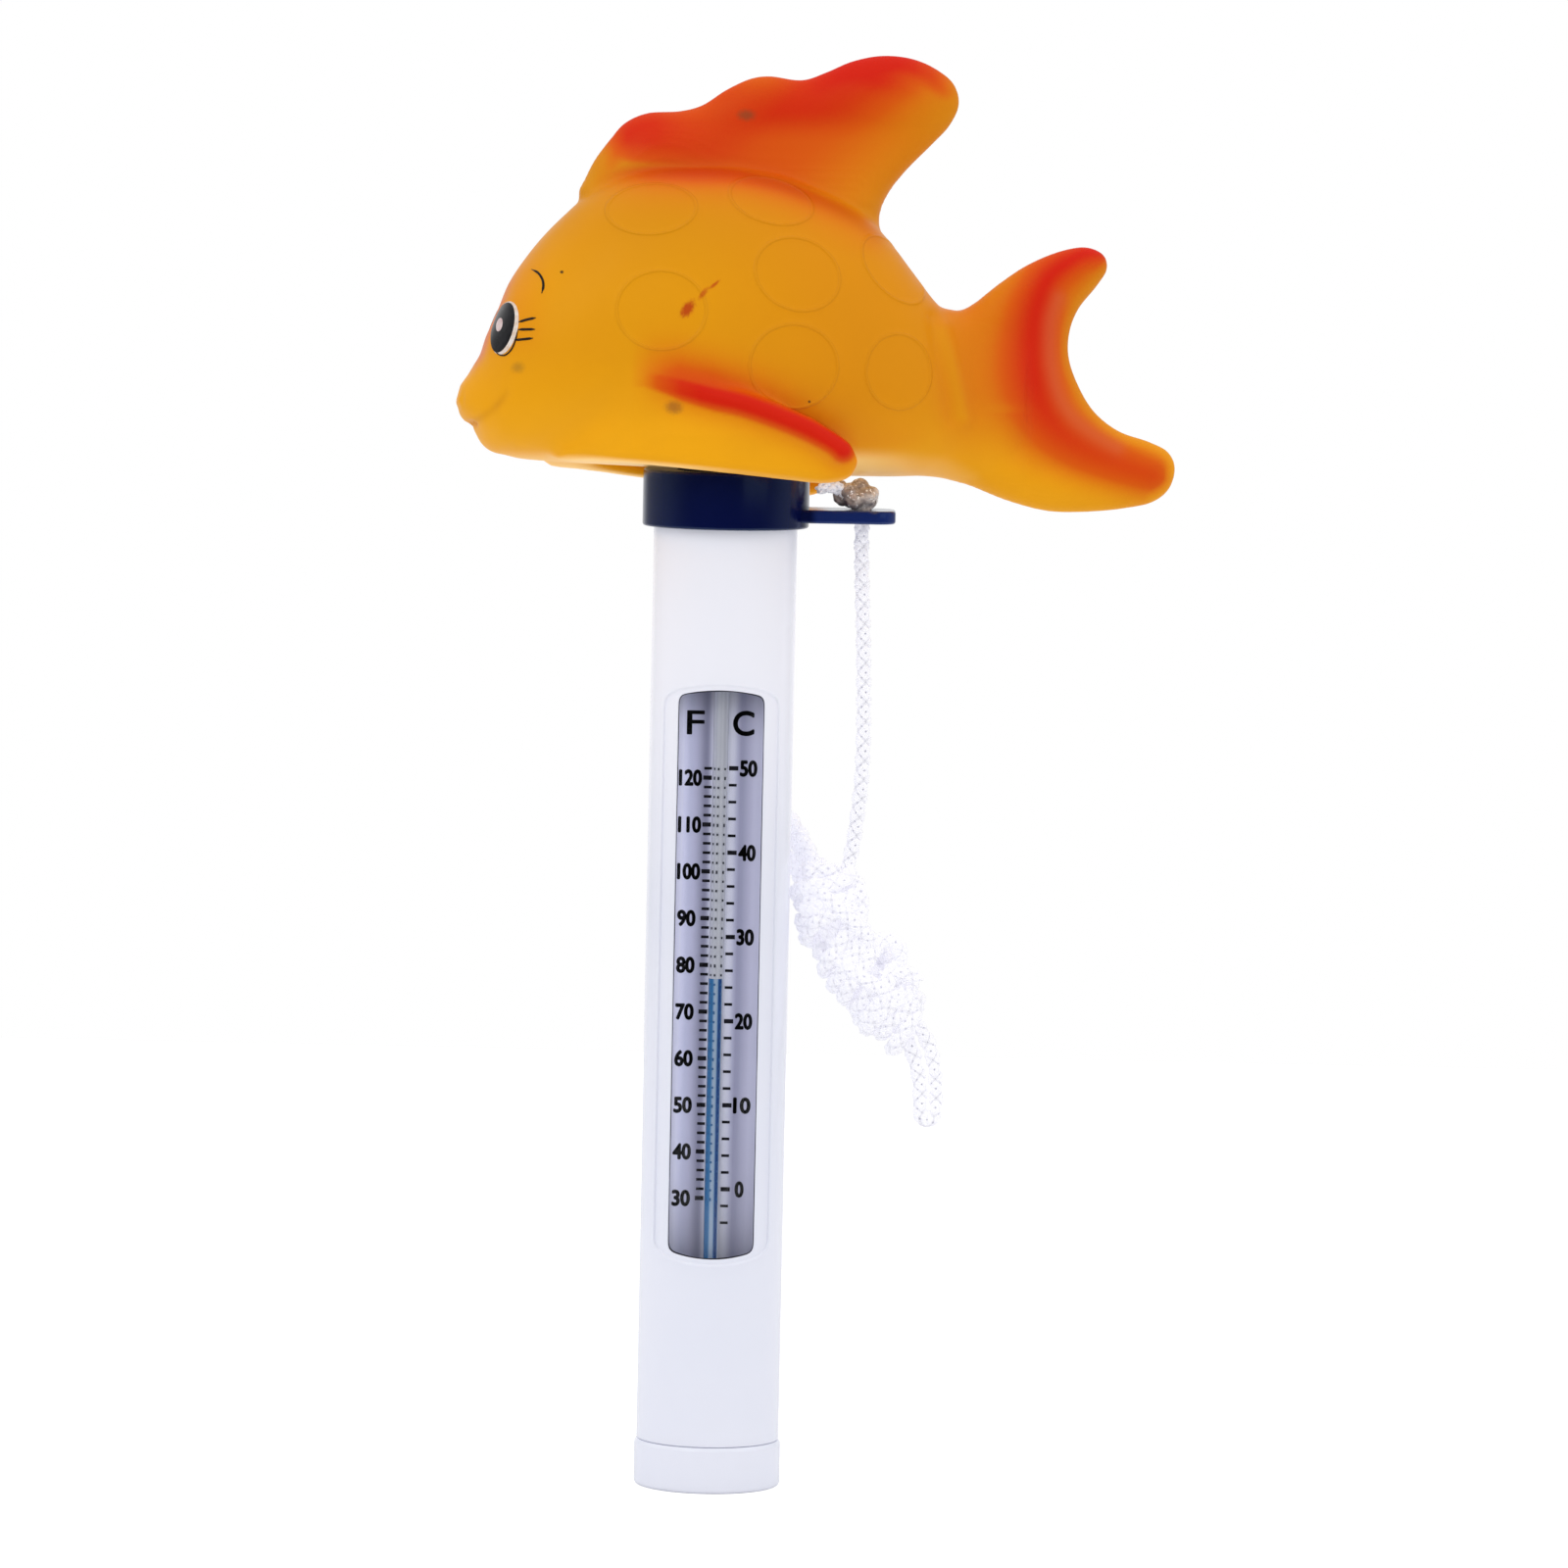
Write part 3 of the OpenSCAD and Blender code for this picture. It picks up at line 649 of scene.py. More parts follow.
def vinyl():
    """Fish skin: sprayed colour, painted sheen and painted shade come from the "paint" attribute,
    places from "fl"; painted light and a painted glow lie on faces looking down.
    """
    net = new_material("vinyl")
    place = net.attribute("fl")["Vector"]
    spray_sheen_shade = net.attribute("paint")
    red, orange, rim = net.node("SeparateColor", {0: spray_sheen_shade["Color"]}).outputs
    x, y, z = net.split(place)
    cloud = net.noise(place, scale=0.09, detail=4)
    speckle = net.noise(place, scale=2.6, detail=3)
    droplets = net.noise(place, scale=9.0, detail=2)
    color = skin(net, x, z, cloud)
    fine = net.times_plus(net.minus(droplets, 0.5), 0.22, 0.0)
    coarse = net.times_plus(net.minus(speckle, 0.5), 0.16, 0.0)
    # speckle shows most where the spray is half strength
    for strength, spray_color in ((orange, ORANGE), (red, RED)):
        half_tone = net.times(net.times(strength, net.minus(1.0, strength)), 4.0)
        speckled = net.times(net.plus(fine, coarse), half_tone)
        color = net.mix(net.calc("ADD", strength, speckled, clamp=True), color, spray_color)
    # pink blush, and a painted sheen along the tail band
    color = net.mix(rim, color, PINK_BLUSH_SHEEN)
    # painted shade in the creases
    color = net.mix(net.minus(1.0, spray_sheen_shade["Alpha"]), color, CREASE_SHADE)
    # painted light and painted glow on faces looking down near the belly
    under = underside(net, x, z, orange)
    color = net.mix(under, color, UNDERSIDE_LIGHT)
    nearest = None
    for ring in RINGS:
        off_line = net.minus(ellipse_reach(net, x, z, ring), 1.0)
        gap = net.calc("ABSOLUTE", net.times(off_line, (ring[2] * ring[3]) ** 0.5))
        nearest = gap if nearest is None else net.calc("MINIMUM", nearest, gap)
    # painted shade along the moulded scale rings
    ring = net.remap(nearest, (0.34, 0.04))
    color = net.mix(net.times(ring, 0.07), color, RING_SHADE)
    for ellipse, soft, fault_color, amount, ragged in FAULTS:
        reach = ellipse_reach(net, x, z, ellipse)
        reach = net.times_plus(net.minus(speckle, 0.5), ragged, reach)
        strength = net.times(net.remap(reach, (1 + soft, 1 - soft)), amount)
        on_flank = net.calc("LESS_THAN", y, 0.0)
        color = net.mix(net.times(strength, on_flank), color, fault_color)
    height = net.plus(net.times(ring, 1.0), net.times(droplets, 0.10))
    height = net.plus(height, net.times(net.noise(place, scale=1.1, detail=3), 0.10))
    # the glow is painted light on the underside
    return net.finish(net.principled(
        color=color, rough=net.remap(cloud, (0.2, 0.8), to=(0.36, 0.46)), specular=0.10,
        glow_color=(1.0, 0.62, 0.24), glow=net.times(under, 0.22),
        normal=net.bump(height, strength=0.55, distance=0.00022)))


# painted light: the tube's white turns lighter and bluer towards its top, and glows faintly, more
# near the top
WHITE = plastic("white_plastic", (0.825, 0.845, 0.95), (0.85, 0.865, 0.96), rough=0.22,
                specular=0.45, grain=720, bump=0.000006,
                painted_light_zone=(2, (0.935, 0.935, 1.0), (0.085, 0.135)), painted_glow=(0.012, 0.050))
# painted light: the lug turns a lighter blue beyond the collar's wall
NAVY = plastic("navy_plastic", (0.0008, 0.0024, 0.041), (0.0013, 0.0036, 0.055), rough=0.17,
               grain=1200, tint=(0.55, 0.80, 1.0),
               painted_light_zone=(0, (0.009, 0.022, 0.140), (0.0128, 0.0142)))
CARRIER = plastic("carrier_plastic", (0.72, 0.73, 0.76), (0.78, 0.79, 0.82), rough=0.4)
RUBBER = plastic("seal_rubber", (0.012, 0.012, 0.014), (0.02, 0.02, 0.022), rough=0.6,
                 specular=0.3)
FOAM = plastic("foam", (0.80, 0.76, 0.62), (0.9, 0.87, 0.74), rough=0.9, specular=0.1,
               grain=1600, bump=0.0002, patches=400)
STEEL = steel()
LENS = clear("clear_plastic", (0.975, 0.975, 0.985), gloss=0.5, base=0.012)
BULB_GLASS = clear("stem_glass_bulb", (0.93, 0.97, 0.95), gloss=0.8, base=0.05)
CARD, INK = card(), ink()
STEM = drawn_glass("stem_glass", STEM_LIGHT_ACROSS, streak_scale=(900.0, 900.0, 40.0),
                   streak_amount=0.2, streak_color=srgb(176, 182, 186), rough=0.12,
                   specular=0.45)
SPIRIT = drawn_glass("spirit", SPIRIT_LIGHT_ACROSS, streak_scale=(700.0, 700.0, 300.0),
                     streak_amount=0.18, streak_color=srgb(70, 116, 164), rough=0.15,
                     specular=0.4)
CORD = cord("cord", valley_shade=0.74, valley_painted_glow=0.62)
WOUND = cord("cord_wound", valley_shade=0.84, valley_painted_glow=0.8)
KNOT, VINYL = knot(), vinyl()
EYE_WHITE = paint("eye_white", srgb(236, 226, 218), srgb(222, 196, 176))
EYE_BLACK = paint("eye_black", (0.004, 0.004, 0.006), (0.012, 0.012, 0.016), specular=0.3)
EYE_GLINT = paint("eye_glint", srgb(226, 206, 204), srgb(206, 176, 176))
LASH = paint("lash_paint", (0.012, 0.008, 0.006), (0.03, 0.018, 0.01), rough=0.4, specular=0.3)
# painted shadow: the dark strip round the window pane
PANE_SHADOW = plastic("seam", (0.02, 0.02, 0.03), (0.05, 0.05, 0.07), rough=0.5, specular=0.2)
STEM_MARKS = stem_marks()

# CAD pieces that keep their shape: piece, material, slot
for piece, material, slot in (
        ("end_cap_seal", RUBBER, "seal_rubber"), ("collar_seal", RUBBER, "seal_rubber"),
        ("ballast_weight", STEEL, "steel"), ("bulb_pad", FOAM, "foam"),
        ("lower_carrier", CARRIER, "carrier_plastic"),
        ("upper_carrier", CARRIER, "carrier_plastic"),
        ("glass_bulb", BULB_GLASS, "stem_glass"), ("stem_clips", STEEL, "steel"),
        ("bulb_spirit", SPIRIT, "spirit")):
    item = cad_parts[piece]
    item.data.materials.clear()
    item.data.materials.append(material)
    item.data.set_sharp_from_angle(angle=math.radians(35))


# ------------------------------------------------------------------ tube and window
TUBE_R, BORE_R, RECESS_R = 11.0, 9.5, 10.65
TUBE_FOOT, TUBE_TOP, TUBE_EDGE = 7.2, 154.5, 0.2
WINDOW_W, WINDOW_LOW, WINDOW_HIGH = 13.1, 36.2, 123.5
WINDOW_ENDS = (0.95, 1.85, 20)      # bow, corner drop and corner sharpness of the ends
RECESS = (17.2, 35.5, 124.2, (1.5, 2.4, 9))


def window(inset=0.0):
    """Width, bottom, top and ends of the window drawn in by inset."""
    return WINDOW_W - 2 * inset, WINDOW_LOW + inset, WINDOW_HIGH - inset, WINDOW_ENDS


def end_drop(share, bow, corner, sharpness):
    """How far an opening's end falls away from its middle; share is 0 there, 1 at the side."""
    share = np.minimum(np.abs(share), 1)
    return bow * share ** 2 + corner * (1 - (1 - share ** sharpness) ** (1 / 3))


def arch(width, low, high, ends, across, upright):
    """Closed (x, z) outline: bottom left to right, right side up, top, left side down."""
    def even(x, z):
        points = np.stack([x, z], 1)
        run = arc_length(points)
        spread = np.linspace(0, run[-1], across)
        return np.stack([np.interp(spread, run, column) for column in points.T], 1)
    share = np.sin(np.linspace(-np.pi / 2, np.pi / 2, across * 40))
    drop = end_drop(share, *ends)
    x = width / 2 * share
    full_drop = ends[0] + ends[1]
    side = np.linspace(low + full_drop, high - full_drop, upright)
    runs = [even(x, low + drop), np.stack([np.full(upright, width / 2), side], 1),
            even(x[::-1], (high - drop)[::-1]),
            np.stack([np.full(upright, -width / 2), side[::-1]], 1)]
    return np.concatenate([run[:-1] for run in runs])


def bend(outline, radius):
    """Wraps (x, z) points onto the -Y side of a cylinder, keeping their x."""
    x, z = outline.T
    return np.stack([x, -np.sqrt(radius * radius - x * x), z], 1)


def offset(outline, distance):
    tangent = unit(np.roll(outline, -1, 0) - np.roll(outline, 1, 0))
    return outline + distance * np.stack([tangent[:, 1], -tangent[:, 0]], 1)


def tube():
    """Tube wall with a stepped window. Loops of points run from a rectangle on the bore
    through the window's edges to the same rectangle outside; grids close the two sheets."""
    across, upright = 41, 60
    low, high, half_angle = 31.0, 128.5, math.radians(62)
    opening = arch(*window(), across, upright)
    recess = arch(*RECESS, across, upright)
    near = np.linspace(-half_angle, half_angle, across)
    heights = np.linspace(low, high, upright)
    rectangle = np.concatenate([np.stack(run, 1)[:-1] for run in (
        (near, np.full(across, low)), (np.full(upright, half_angle), heights),
        (near[::-1], np.full(across, high)), (np.full(upright, -half_angle), heights[::-1]))])

    def wrap(polar, radius):
        angle, z = polar.T
        return np.stack([radius * np.sin(angle), -radius * np.cos(angle), z], 1)

    def polar(outline, radius):
        return np.stack([np.arcsin(outline[:, 0] / radius), outline[:, 1]], 1)

    inner = polar(opening, BORE_R)
    loops = [wrap(inner * (1 - k) + rectangle * k, BORE_R) for k in (1.0, 0.66, 0.33)]
    loops += [bend(opening, radius) for radius in (BORE_R, 10.0, 10.40)]
    loops += [bend(offset(opening, 0.03), 10.52), bend(offset(opening, 0.10), 10.61)]
    lip = offset(opening, 0.20)
    loops += [bend(lip, RECESS_R)]
    loops += [bend(lip * (1 - k) + recess * k, RECESS_R) for k in (0.25, 0.5, 0.75, 0.93)]
    loops += [bend(recess, RECESS_R + 0.02)]
    loops += [bend(offset(recess, out), RECESS_R + rise)
              for out, rise in ((0.08, 0.09), (0.20, 0.25), (0.30, 0.325))]
    rim = offset(recess, 0.42)
    loops += [bend(rim, TUBE_R)]
    outer = polar(rim, TUBE_R)
    loops += [wrap(outer * (1 - k) + rectangle * k, TUBE_R) for k in (0.33, 0.66, 1.0)]
    size = len(rectangle)
    points = np.concatenate(loops)

    # rest of both sheets, on a grid that shares the rectangle's edge
    around = np.concatenate([near, np.linspace(half_angle, 2 * np.pi - half_angle, 85)[1:-1]])
    below = np.concatenate([[TUBE_FOOT, 7.24, 7.31, 7.4], np.linspace(9, low, 10)[:-1]])
    above = np.concatenate([np.linspace(high, 152, 10)[1:], [154.3, 154.39, 154.46, TUBE_TOP]])
    rows = np.concatenate([below, heights, above])
    base, right, top = len(below), across - 1, upright - 1
    edge = ([(base, k) for k in range(right)] + [(base + k, right) for k in range(top)]
            + [(base + top, right - k) for k in range(right)]
            + [(base + top - k, 0) for k in range(top)])
    edge_index = {cell: k for k, cell in enumerate(edge)}

    def sheet(radius, first, loop_start, outside):
        index = np.full((len(rows), len(around)), -1)
        grid, quads = [], []
        for i, z in enumerate(rows):
            for j, angle in enumerate(around):
                if base < i < base + top and 0 < j < right:
                    continue
                if (i, j) in edge_index:
                    index[i, j] = loop_start + edge_index[i, j]
                    continue
                local = radius
                gap = min(z - TUBE_FOOT, TUBE_TOP - z)
                if outside and gap < TUBE_EDGE:
                    local = radius - TUBE_EDGE + math.sqrt(max(0.0, 0.04 - (TUBE_EDGE - gap) ** 2))
                index[i, j] = first + len(grid)
                grid.append([local * math.sin(angle), -local * math.cos(angle), z])
        for i in range(len(rows) - 1):
            for j in range(len(around)):
                if base <= i < base + top and j < right:
                    continue
                k = (j + 1) % len(around)
                quad = [index[i, j], index[i, k], index[i + 1, k], index[i + 1, j]]
                quads.append(quad if outside else quad[::-1])
        return np.array(grid), np.array(quads), index

    outer_points, outer_quads, outside = sheet(TUBE_R, len(points), (len(loops) - 1) * size, True)
    inner_points, inner_quads, inside = sheet(BORE_R, len(points) + len(outer_points), 0, False)

    def end_ring(first, second):
        return np.stack([first, np.roll(first, -1), np.roll(second, -1), second], 1)

    return (np.concatenate([points, outer_points, inner_points]),
            [ring_quads(len(loops), size), outer_quads, inner_quads,
             end_ring(inside[0], outside[0]), end_ring(outside[-1], inside[-1])])


def pane():
    """Clear pane bent to the tube, filling the window."""
    across, upright = 41, 80
    share = np.sin(np.linspace(-np.pi / 2, np.pi / 2, across))
    share = 0.55 * share + 0.45 * np.linspace(-1, 1, across)
    width, low, high, ends = window(inset=0.06)
    drop = end_drop(share, *ends)
    rise = np.linspace(0, 1, upright)[:, None]
    z = (low + drop)[None] * (1 - rise) + (high - drop)[None] * rise
    x = np.broadcast_to(width / 2 * share, z.shape)
    outline = np.stack([x, z], 2).reshape(-1, 2)
    count = across * upright
    i = np.arange(upright - 1)[:, None] * across
    j = np.arange(across - 1)[None]
    quads = np.stack([i + j, i + j + 1, i + across + j + 1, i + across + j], 2).reshape(-1, 4)
    rim = np.concatenate([np.arange(across - 1), np.arange(upright - 1) * across + across - 1,
                          (upright - 1) * across + np.arange(across - 1, 0, -1),
                          np.arange(upright - 1, 0, -1) * across])
    following = np.roll(rim, -1)
    side = np.stack([rim, rim + count, following + count, following], 1)
    return (np.concatenate([bend(outline, 10.2), bend(outline, 8.75)]),
            [quads, (quads + count)[:, ::-1], side])


def seam():
    """Thin dark strip of painted shadow round the pane, in the gap between pane and lip, thicker
    at the window's ends.
    """
    radius = 10.24
    path = bend(arch(*window(inset=0.04), 61, 90), radius)
    tangent = unit(np.roll(path, -1, 0) - np.roll(path, 1, 0))
    outward = path * np.array([1, 1, 0]) / radius
    outward -= (outward * tangent).sum(1)[:, None] * tangent
    outward = unit(outward)
    middle = (WINDOW_LOW + WINDOW_HIGH) / 2
    ends = np.clip((np.abs(path[:, 2] - middle) - 41.3) / 1.5, 0, 1)
    width = (0.075 + 0.075 * ends) * (1 + 0.2 * np.sin(np.arange(len(path)) * 0.21))
    return tube_along(path, width, width, outward, np.cross(tangent, outward), 8, closed=True)


# end cap section: radius, z, corner radius
CAP = [(0, 0.35, 0), (8.6, 0.35, 0.3), (9.0, 0, 0.3), (11.3, 0, 0.75), (11.3, 6.60, 0.35),
       (10.98, 7.10, 0.2), (10.5, 7.15, 0), (9.45, 7.15, 0), (9.45, 10.4, 0.1),
       (8.4, 10.4, 0.1), (8.4, 11.6, 0.1), (9.45, 11.6, 0.1), (9.45, 15, 0.5),
       (7.8, 15, 0.2), (7.8, 1.6, 0.3), (0, 1.6, 0)]

build("tube", tube(), WHITE, sharp=50, body="case", replaces="tube_body")
build("window_pane", pane(), LENS, sharp=40, body="case",
      replaces="window_lens")
# painted shadow round the window pane
build("pane_shadow_line", seam(), PANE_SHADOW, body="case")
build("end_cap_turned", lathe(fillet(CAP, 6), 160), WHITE, sharp=40,
      body="case", replaces="end_cap")


# ------------------------------------------------------------------ thermometer
CARD_FRONT, CARD_BACK, INK_FRONT = -4.75, -4.35, -4.79
CARD_HALF_W, CARD_LOW, CARD_HIGH, CARD_CORNER = 7.1, 27.5, 132.5, 0.8
F30_Z, F_PITCH = 44.93, 0.7198      # height of 30 F, and of each degree
C0_Z, C_PITCH = 46.37, 1.2972       # height of 0 C, and of each degree
STEM_R, STEM_Y = 1.15, -6.0
DIGIT_H = 2.56


def fahrenheit_z(degrees):
    return F30_Z + (degrees - 30) * F_PITCH


def celsius_z(degrees):
    return C0_Z + degrees * C_PITCH


def box(x_low, x_high, y_low, y_high, z_low, z_high):
    points = [[x, y, z] for x in (x_low, x_high) for y in (y_low, y_high)
              for z in (z_low, z_high)]
    return points, [np.array([[0, 1, 3, 2], [4, 6, 7, 5], [0, 4, 5, 1], [2, 3, 7, 6],
                              [0, 2, 6, 4], [1, 5, 7, 3]])]


def dial_card():
    corners = ((-CARD_HALF_W, CARD_LOW), (CARD_HALF_W, CARD_LOW),
               (CARD_HALF_W, CARD_HIGH), (-CARD_HALF_W, CARD_HIGH))
    outline = fillet([(x, z, CARD_CORNER) for x, z in corners], 6)
    count = len(outline)
    x, z = outline.T
    sheets = [np.column_stack([x, np.full(count, y), z]) for y in (CARD_FRONT, CARD_BACK)]
    centres = [[x.mean(), y, z.mean()] for y in (CARD_FRONT, CARD_BACK)]
    i = np.arange(count)
    j = (i + 1) % count
    faces = [np.stack([i, j, np.full(count, 2 * count)], 1),
             np.stack([j + count, i + count, np.full(count, 2 * count + 1)], 1),
             np.stack([j, i, i + count, j + count], 1)]
    return np.concatenate([*sheets, centres]), faces


def ticks():
    """Marks every two degrees, wider and longer at the tens, on both sides of the stem."""
    boxes = []
    for degrees in range(30, 124, 2):
        z, ten = fahrenheit_z(degrees), degrees % 10 == 0
        half = 0.33 if ten else 0.205
        boxes.append(box(-2.62 if ten else -2.48, -1.30, INK_FRONT, CARD_FRONT,
                         z - half, z + half))
    for degrees in range(-4, 52, 2):
        z, ten = celsius_z(degrees), degrees % 10 == 0
        half = 0.33 if ten else 0.205
        boxes.append(box(1.32, 2.74 if ten else 2.52, INK_FRONT, CARD_FRONT,
                         z - half, z + half))
    return merge(boxes)


def label(text, x_low, x_high, z_low, z_high, weight=0.135):
    """Text filling a box on the card; copies shifted by weight all round fatten it."""
    curve = bpy.data.curves.new("label", "FONT")
    curve.body = text
    curve.size = 1.0
    curve.extrude = 0.01
    curve.resolution_u = 6
    item = add_object("label", curve)
    bpy.context.view_layer.update()
    graph = bpy.context.evaluated_depsgraph_get()
    data = bpy.data.meshes.new_from_object(item.evaluated_get(graph))
    flat = np.array([vertex.co for vertex in data.vertices], float)
    tris = []
    for polygon in data.polygons:
        ring = list(polygon.vertices)
        tris += [[ring[0], ring[k], ring[k + 1]] for k in range(1, len(ring) - 1)]
    bpy.data.objects.remove(item)
    bpy.data.curves.remove(curve)
    bpy.data.meshes.remove(data)
    share = (flat - flat.min(0)) / (flat.max(0) - flat.min(0))
    x_low, x_high, z_low, z_high = x_low + weight, x_high - weight, z_low + weight, z_high - weight
    points = np.stack([x_low + share[:, 0] * (x_high - x_low),
                       np.where(flat[:, 2] > 0, INK_FRONT, CARD_FRONT),
                       z_low + share[:, 1] * (z_high - z_low)], 1)
    shifts = [(weight * math.cos(k * math.pi / 4), 0.0, weight * math.sin(k * math.pi / 4))
              for k in range(8)]
    return merge([(points + np.array(shift), [np.array(tris)]) for shift in shifts])


def figures():
    texts = []
    for degrees in range(30, 130, 10):
        z = fahrenheit_z(degrees) - 0.05
        span = (-6.35, -2.78) if degrees >= 100 else (-6.2, -3.35)
        texts.append(label(str(degrees), *span, z - DIGIT_H / 2, z + DIGIT_H / 2))
    for degrees in range(0, 60, 10):
        z = celsius_z(degrees)
        span = (3.45, 4.85) if degrees == 0 else (2.95, 5.65)
        texts.append(label(str(degrees), *span, z - DIGIT_H / 2, z + DIGIT_H / 2))
    texts.append(label("F", -5.27, -2.57, 116.3, 120.0, weight=0.06))
    texts.append(label("C", 1.78, 5.07, 116.2, 120.1, weight=0.12))
    return merge(texts)


def stem():
    profile = [(0, 25.5), (STEM_R, 25.5)] + [(STEM_R, z) for z in np.linspace(30, 134.3, 12)]
    profile += [(STEM_R * math.cos(angle), 134.5 + STEM_R * math.sin(angle))
                for angle in np.linspace(0.2, 1.4, 6)]
    return lathe(profile + [(0, 134.5 + STEM_R)], 48, (0.0, STEM_Y))


def spirit_thread():
    """Column a little proud of the stem, with both its sides cut flat."""
    radius = 1.185
    profile = [(0, 25.6), (radius, 25.6)] + [(radius, z) for z in np.linspace(28, 78.7, 30)]
    profile += [(1.17, 79.0), (1.05, 79.2), (0.6, 79.28), (0, SPIRIT_TOP)]
    points, faces = lathe(profile, 48, (0.0, STEM_Y))
    points[:, 0] = np.clip(points[:, 0], -1.12, 0.97)
    return points, faces


def stem_dots():
    """Three small marks on the glass at every second Fahrenheit degree."""
    dots = []
    for degrees in range(30, 124, 2):
        z = fahrenheit_z(degrees) + 0.1
        half_z = 0.24 if degrees % 10 == 0 else 0.17
        for x, half_x in ((-0.86, 0.11), (-0.25, 0.14), (0.74, 0.14)):
            y = STEM_Y - math.sqrt(1.2 ** 2 - x * x)
            dots.append(box(x - half_x, x + half_x, y - 0.03, y + 0.05, z - half_z, z + half_z))
    return merge(dots)


build("dial_card", dial_card(), CARD, smooth=False, body="case", replaces="scale_card")
build("scale_ticks", ticks(), INK, smooth=False, body="case")
build("scale_figures", figures(), INK, smooth=False, body="case")
build("glass_stem", stem(), STEM, sharp=40, body="case",
      replaces="capillary_stem")
column = build("spirit_thread", spirit_thread(), SPIRIT, sharp=40,
               replaces="spirit_column")
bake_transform(column)
build("stem_marks", stem_dots(), STEM_MARKS, smooth=False, body="case")


# ------------------------------------------------------------------ collar and lug
# collar section: radius, z, corner radius
COLLAR = [(11.1, 148, 0.25), (12.75, 148, 0.45), (12.75, 156.8, 0.55), (7.5, 156.8, 0.2),
          (7.5, 159.6, 0.2), (8.5, 160.4, 0.2), (8.5, 161, 0.2), (7.2, 163.4, 0.3),
          (0, 163.4, 0), (0, 161.4, 0), (5.8, 161.4, 0.2), (5.8, 154.6, 0.2),
          (7.9, 154.6, 0.2), (7.9, 146.4, 0.2), (9.1, 146.4, 0.1), (9.42, 146.8, 0.1),
          (9.42, 149.6, 0.1), (8.4, 149.6, 0.1), (8.4, 150.8, 0.1), (9.42, 150.8, 0.1),
          (9.42, 154.6, 0.2), (11.1, 154.6, 0.2)]
LUG_LOW, LUG_HIGH, LUG_ROOT, LUG_REACH, LUG_W = 149.0, 151.0, 11.4, 26.0, 11.0
LUG_CORNER, LUG_EDGE = 3.0, 0.42
EYE_X, EYE_R = 20.9, 1.6


def lug():
    """Flat tongue with rounded edges and a round eye for the cord."""
    centre = np.array([EYE_X, 0.0])
    outline = []
    for angle in np.linspace(0, 2 * np.pi, 72, endpoint=False):
        # where a ray from the eye meets the tongue's sides, or its corner arcs
        ray = np.array([math.cos(angle), math.sin(angle)])
        reach = 1e9
        if ray[0] > 1e-9:
            reach = min(reach, (LUG_REACH - EYE_X) / ray[0])
        if ray[0] < -1e-9:
            reach = min(reach, (LUG_ROOT - EYE_X) / ray[0])
        if abs(ray[1]) > 1e-9:
            reach = min(reach, (LUG_W / 2) / abs(ray[1]))
        point = centre + ray * reach
        corner = np.array([LUG_REACH - LUG_CORNER,
                           math.copysign(LUG_W / 2 - LUG_CORNER, point[1])])
        if point[0] > corner[0] and abs(point[1]) > abs(corner[1]):
            away = centre - corner
            along = away @ ray
            under_root = along * along - (away @ away - LUG_CORNER * LUG_CORNER)
            point = centre + ray * (-along + math.sqrt(max(under_root, 0)))
        outline.append(point)
    outline = np.array(outline)
    rays = unit(outline - centre)
    mouth, chamfer, bore = (centre + rays * (EYE_R + out) for out in (0.3, 0.09, 0.0))
    inset = outline - rays * LUG_EDGE
    turns = [(math.sin(turn), math.cos(turn)) for turn in (k / 5 * np.pi / 2 for k in range(6))]
    rings = [(mouth, LUG_HIGH)]
    rings += [(mouth * (1 - k / 4) + inset * (k / 4), LUG_HIGH) for k in range(1, 4)]
    rings += [(outline - rays * LUG_EDGE * (1 - sin), LUG_HIGH - LUG_EDGE * (1 - cos))
              for sin, cos in turns]
    rings += [(outline - rays * LUG_EDGE * (1 - cos), LUG_LOW + LUG_EDGE * (1 - sin))
              for sin, cos in turns]
    rings += [(mouth * (k / 4) + inset * (1 - k / 4), LUG_LOW) for k in range(1, 4)]
    rings += [(mouth, LUG_LOW), (chamfer, LUG_LOW + 0.09), (bore, LUG_LOW + 0.3),
              (bore, LUG_HIGH - 0.3), (chamfer, LUG_HIGH - 0.09)]
    points = np.concatenate([np.column_stack([ring, np.full(len(ring), z)])
                             for ring, z in rings])
    # a small dent in the tongue's top edge near its tip
    distance = np.linalg.norm(points - np.array([22.6, -5.45, 150.9]), axis=1)
    points[:, 2] -= 0.35 * np.exp(-(distance / 0.5) ** 2)
    return points, [ring_quads(len(rings), len(outline), closed=True)[:, [1, 0, 3, 2]]]


build("collar_moulding", merge([lathe(fillet(COLLAR, 5), 192), lug()]), NAVY,
      sharp=40, body="head", replaces="collar")


# ------------------------------------------------------------------ fish shape
FISH_Z = 156.6
LEAN, YAW = math.radians(-6), math.radians(6)
FISH_TURN = (
    np.array([[math.cos(YAW), -math.sin(YAW), 0], [math.sin(YAW), math.cos(YAW), 0], [0, 0, 1]])
    @ np.array([[1, 0, 0], [0, math.cos(LEAN), -math.sin(LEAN)],
                [0, math.sin(LEAN), math.cos(LEAN)]]))


def to_part(points):
    """Fish frame to part frame."""
    return np.asarray(points, float) @ FISH_TURN.T + np.array([0, 0, FISH_Z])


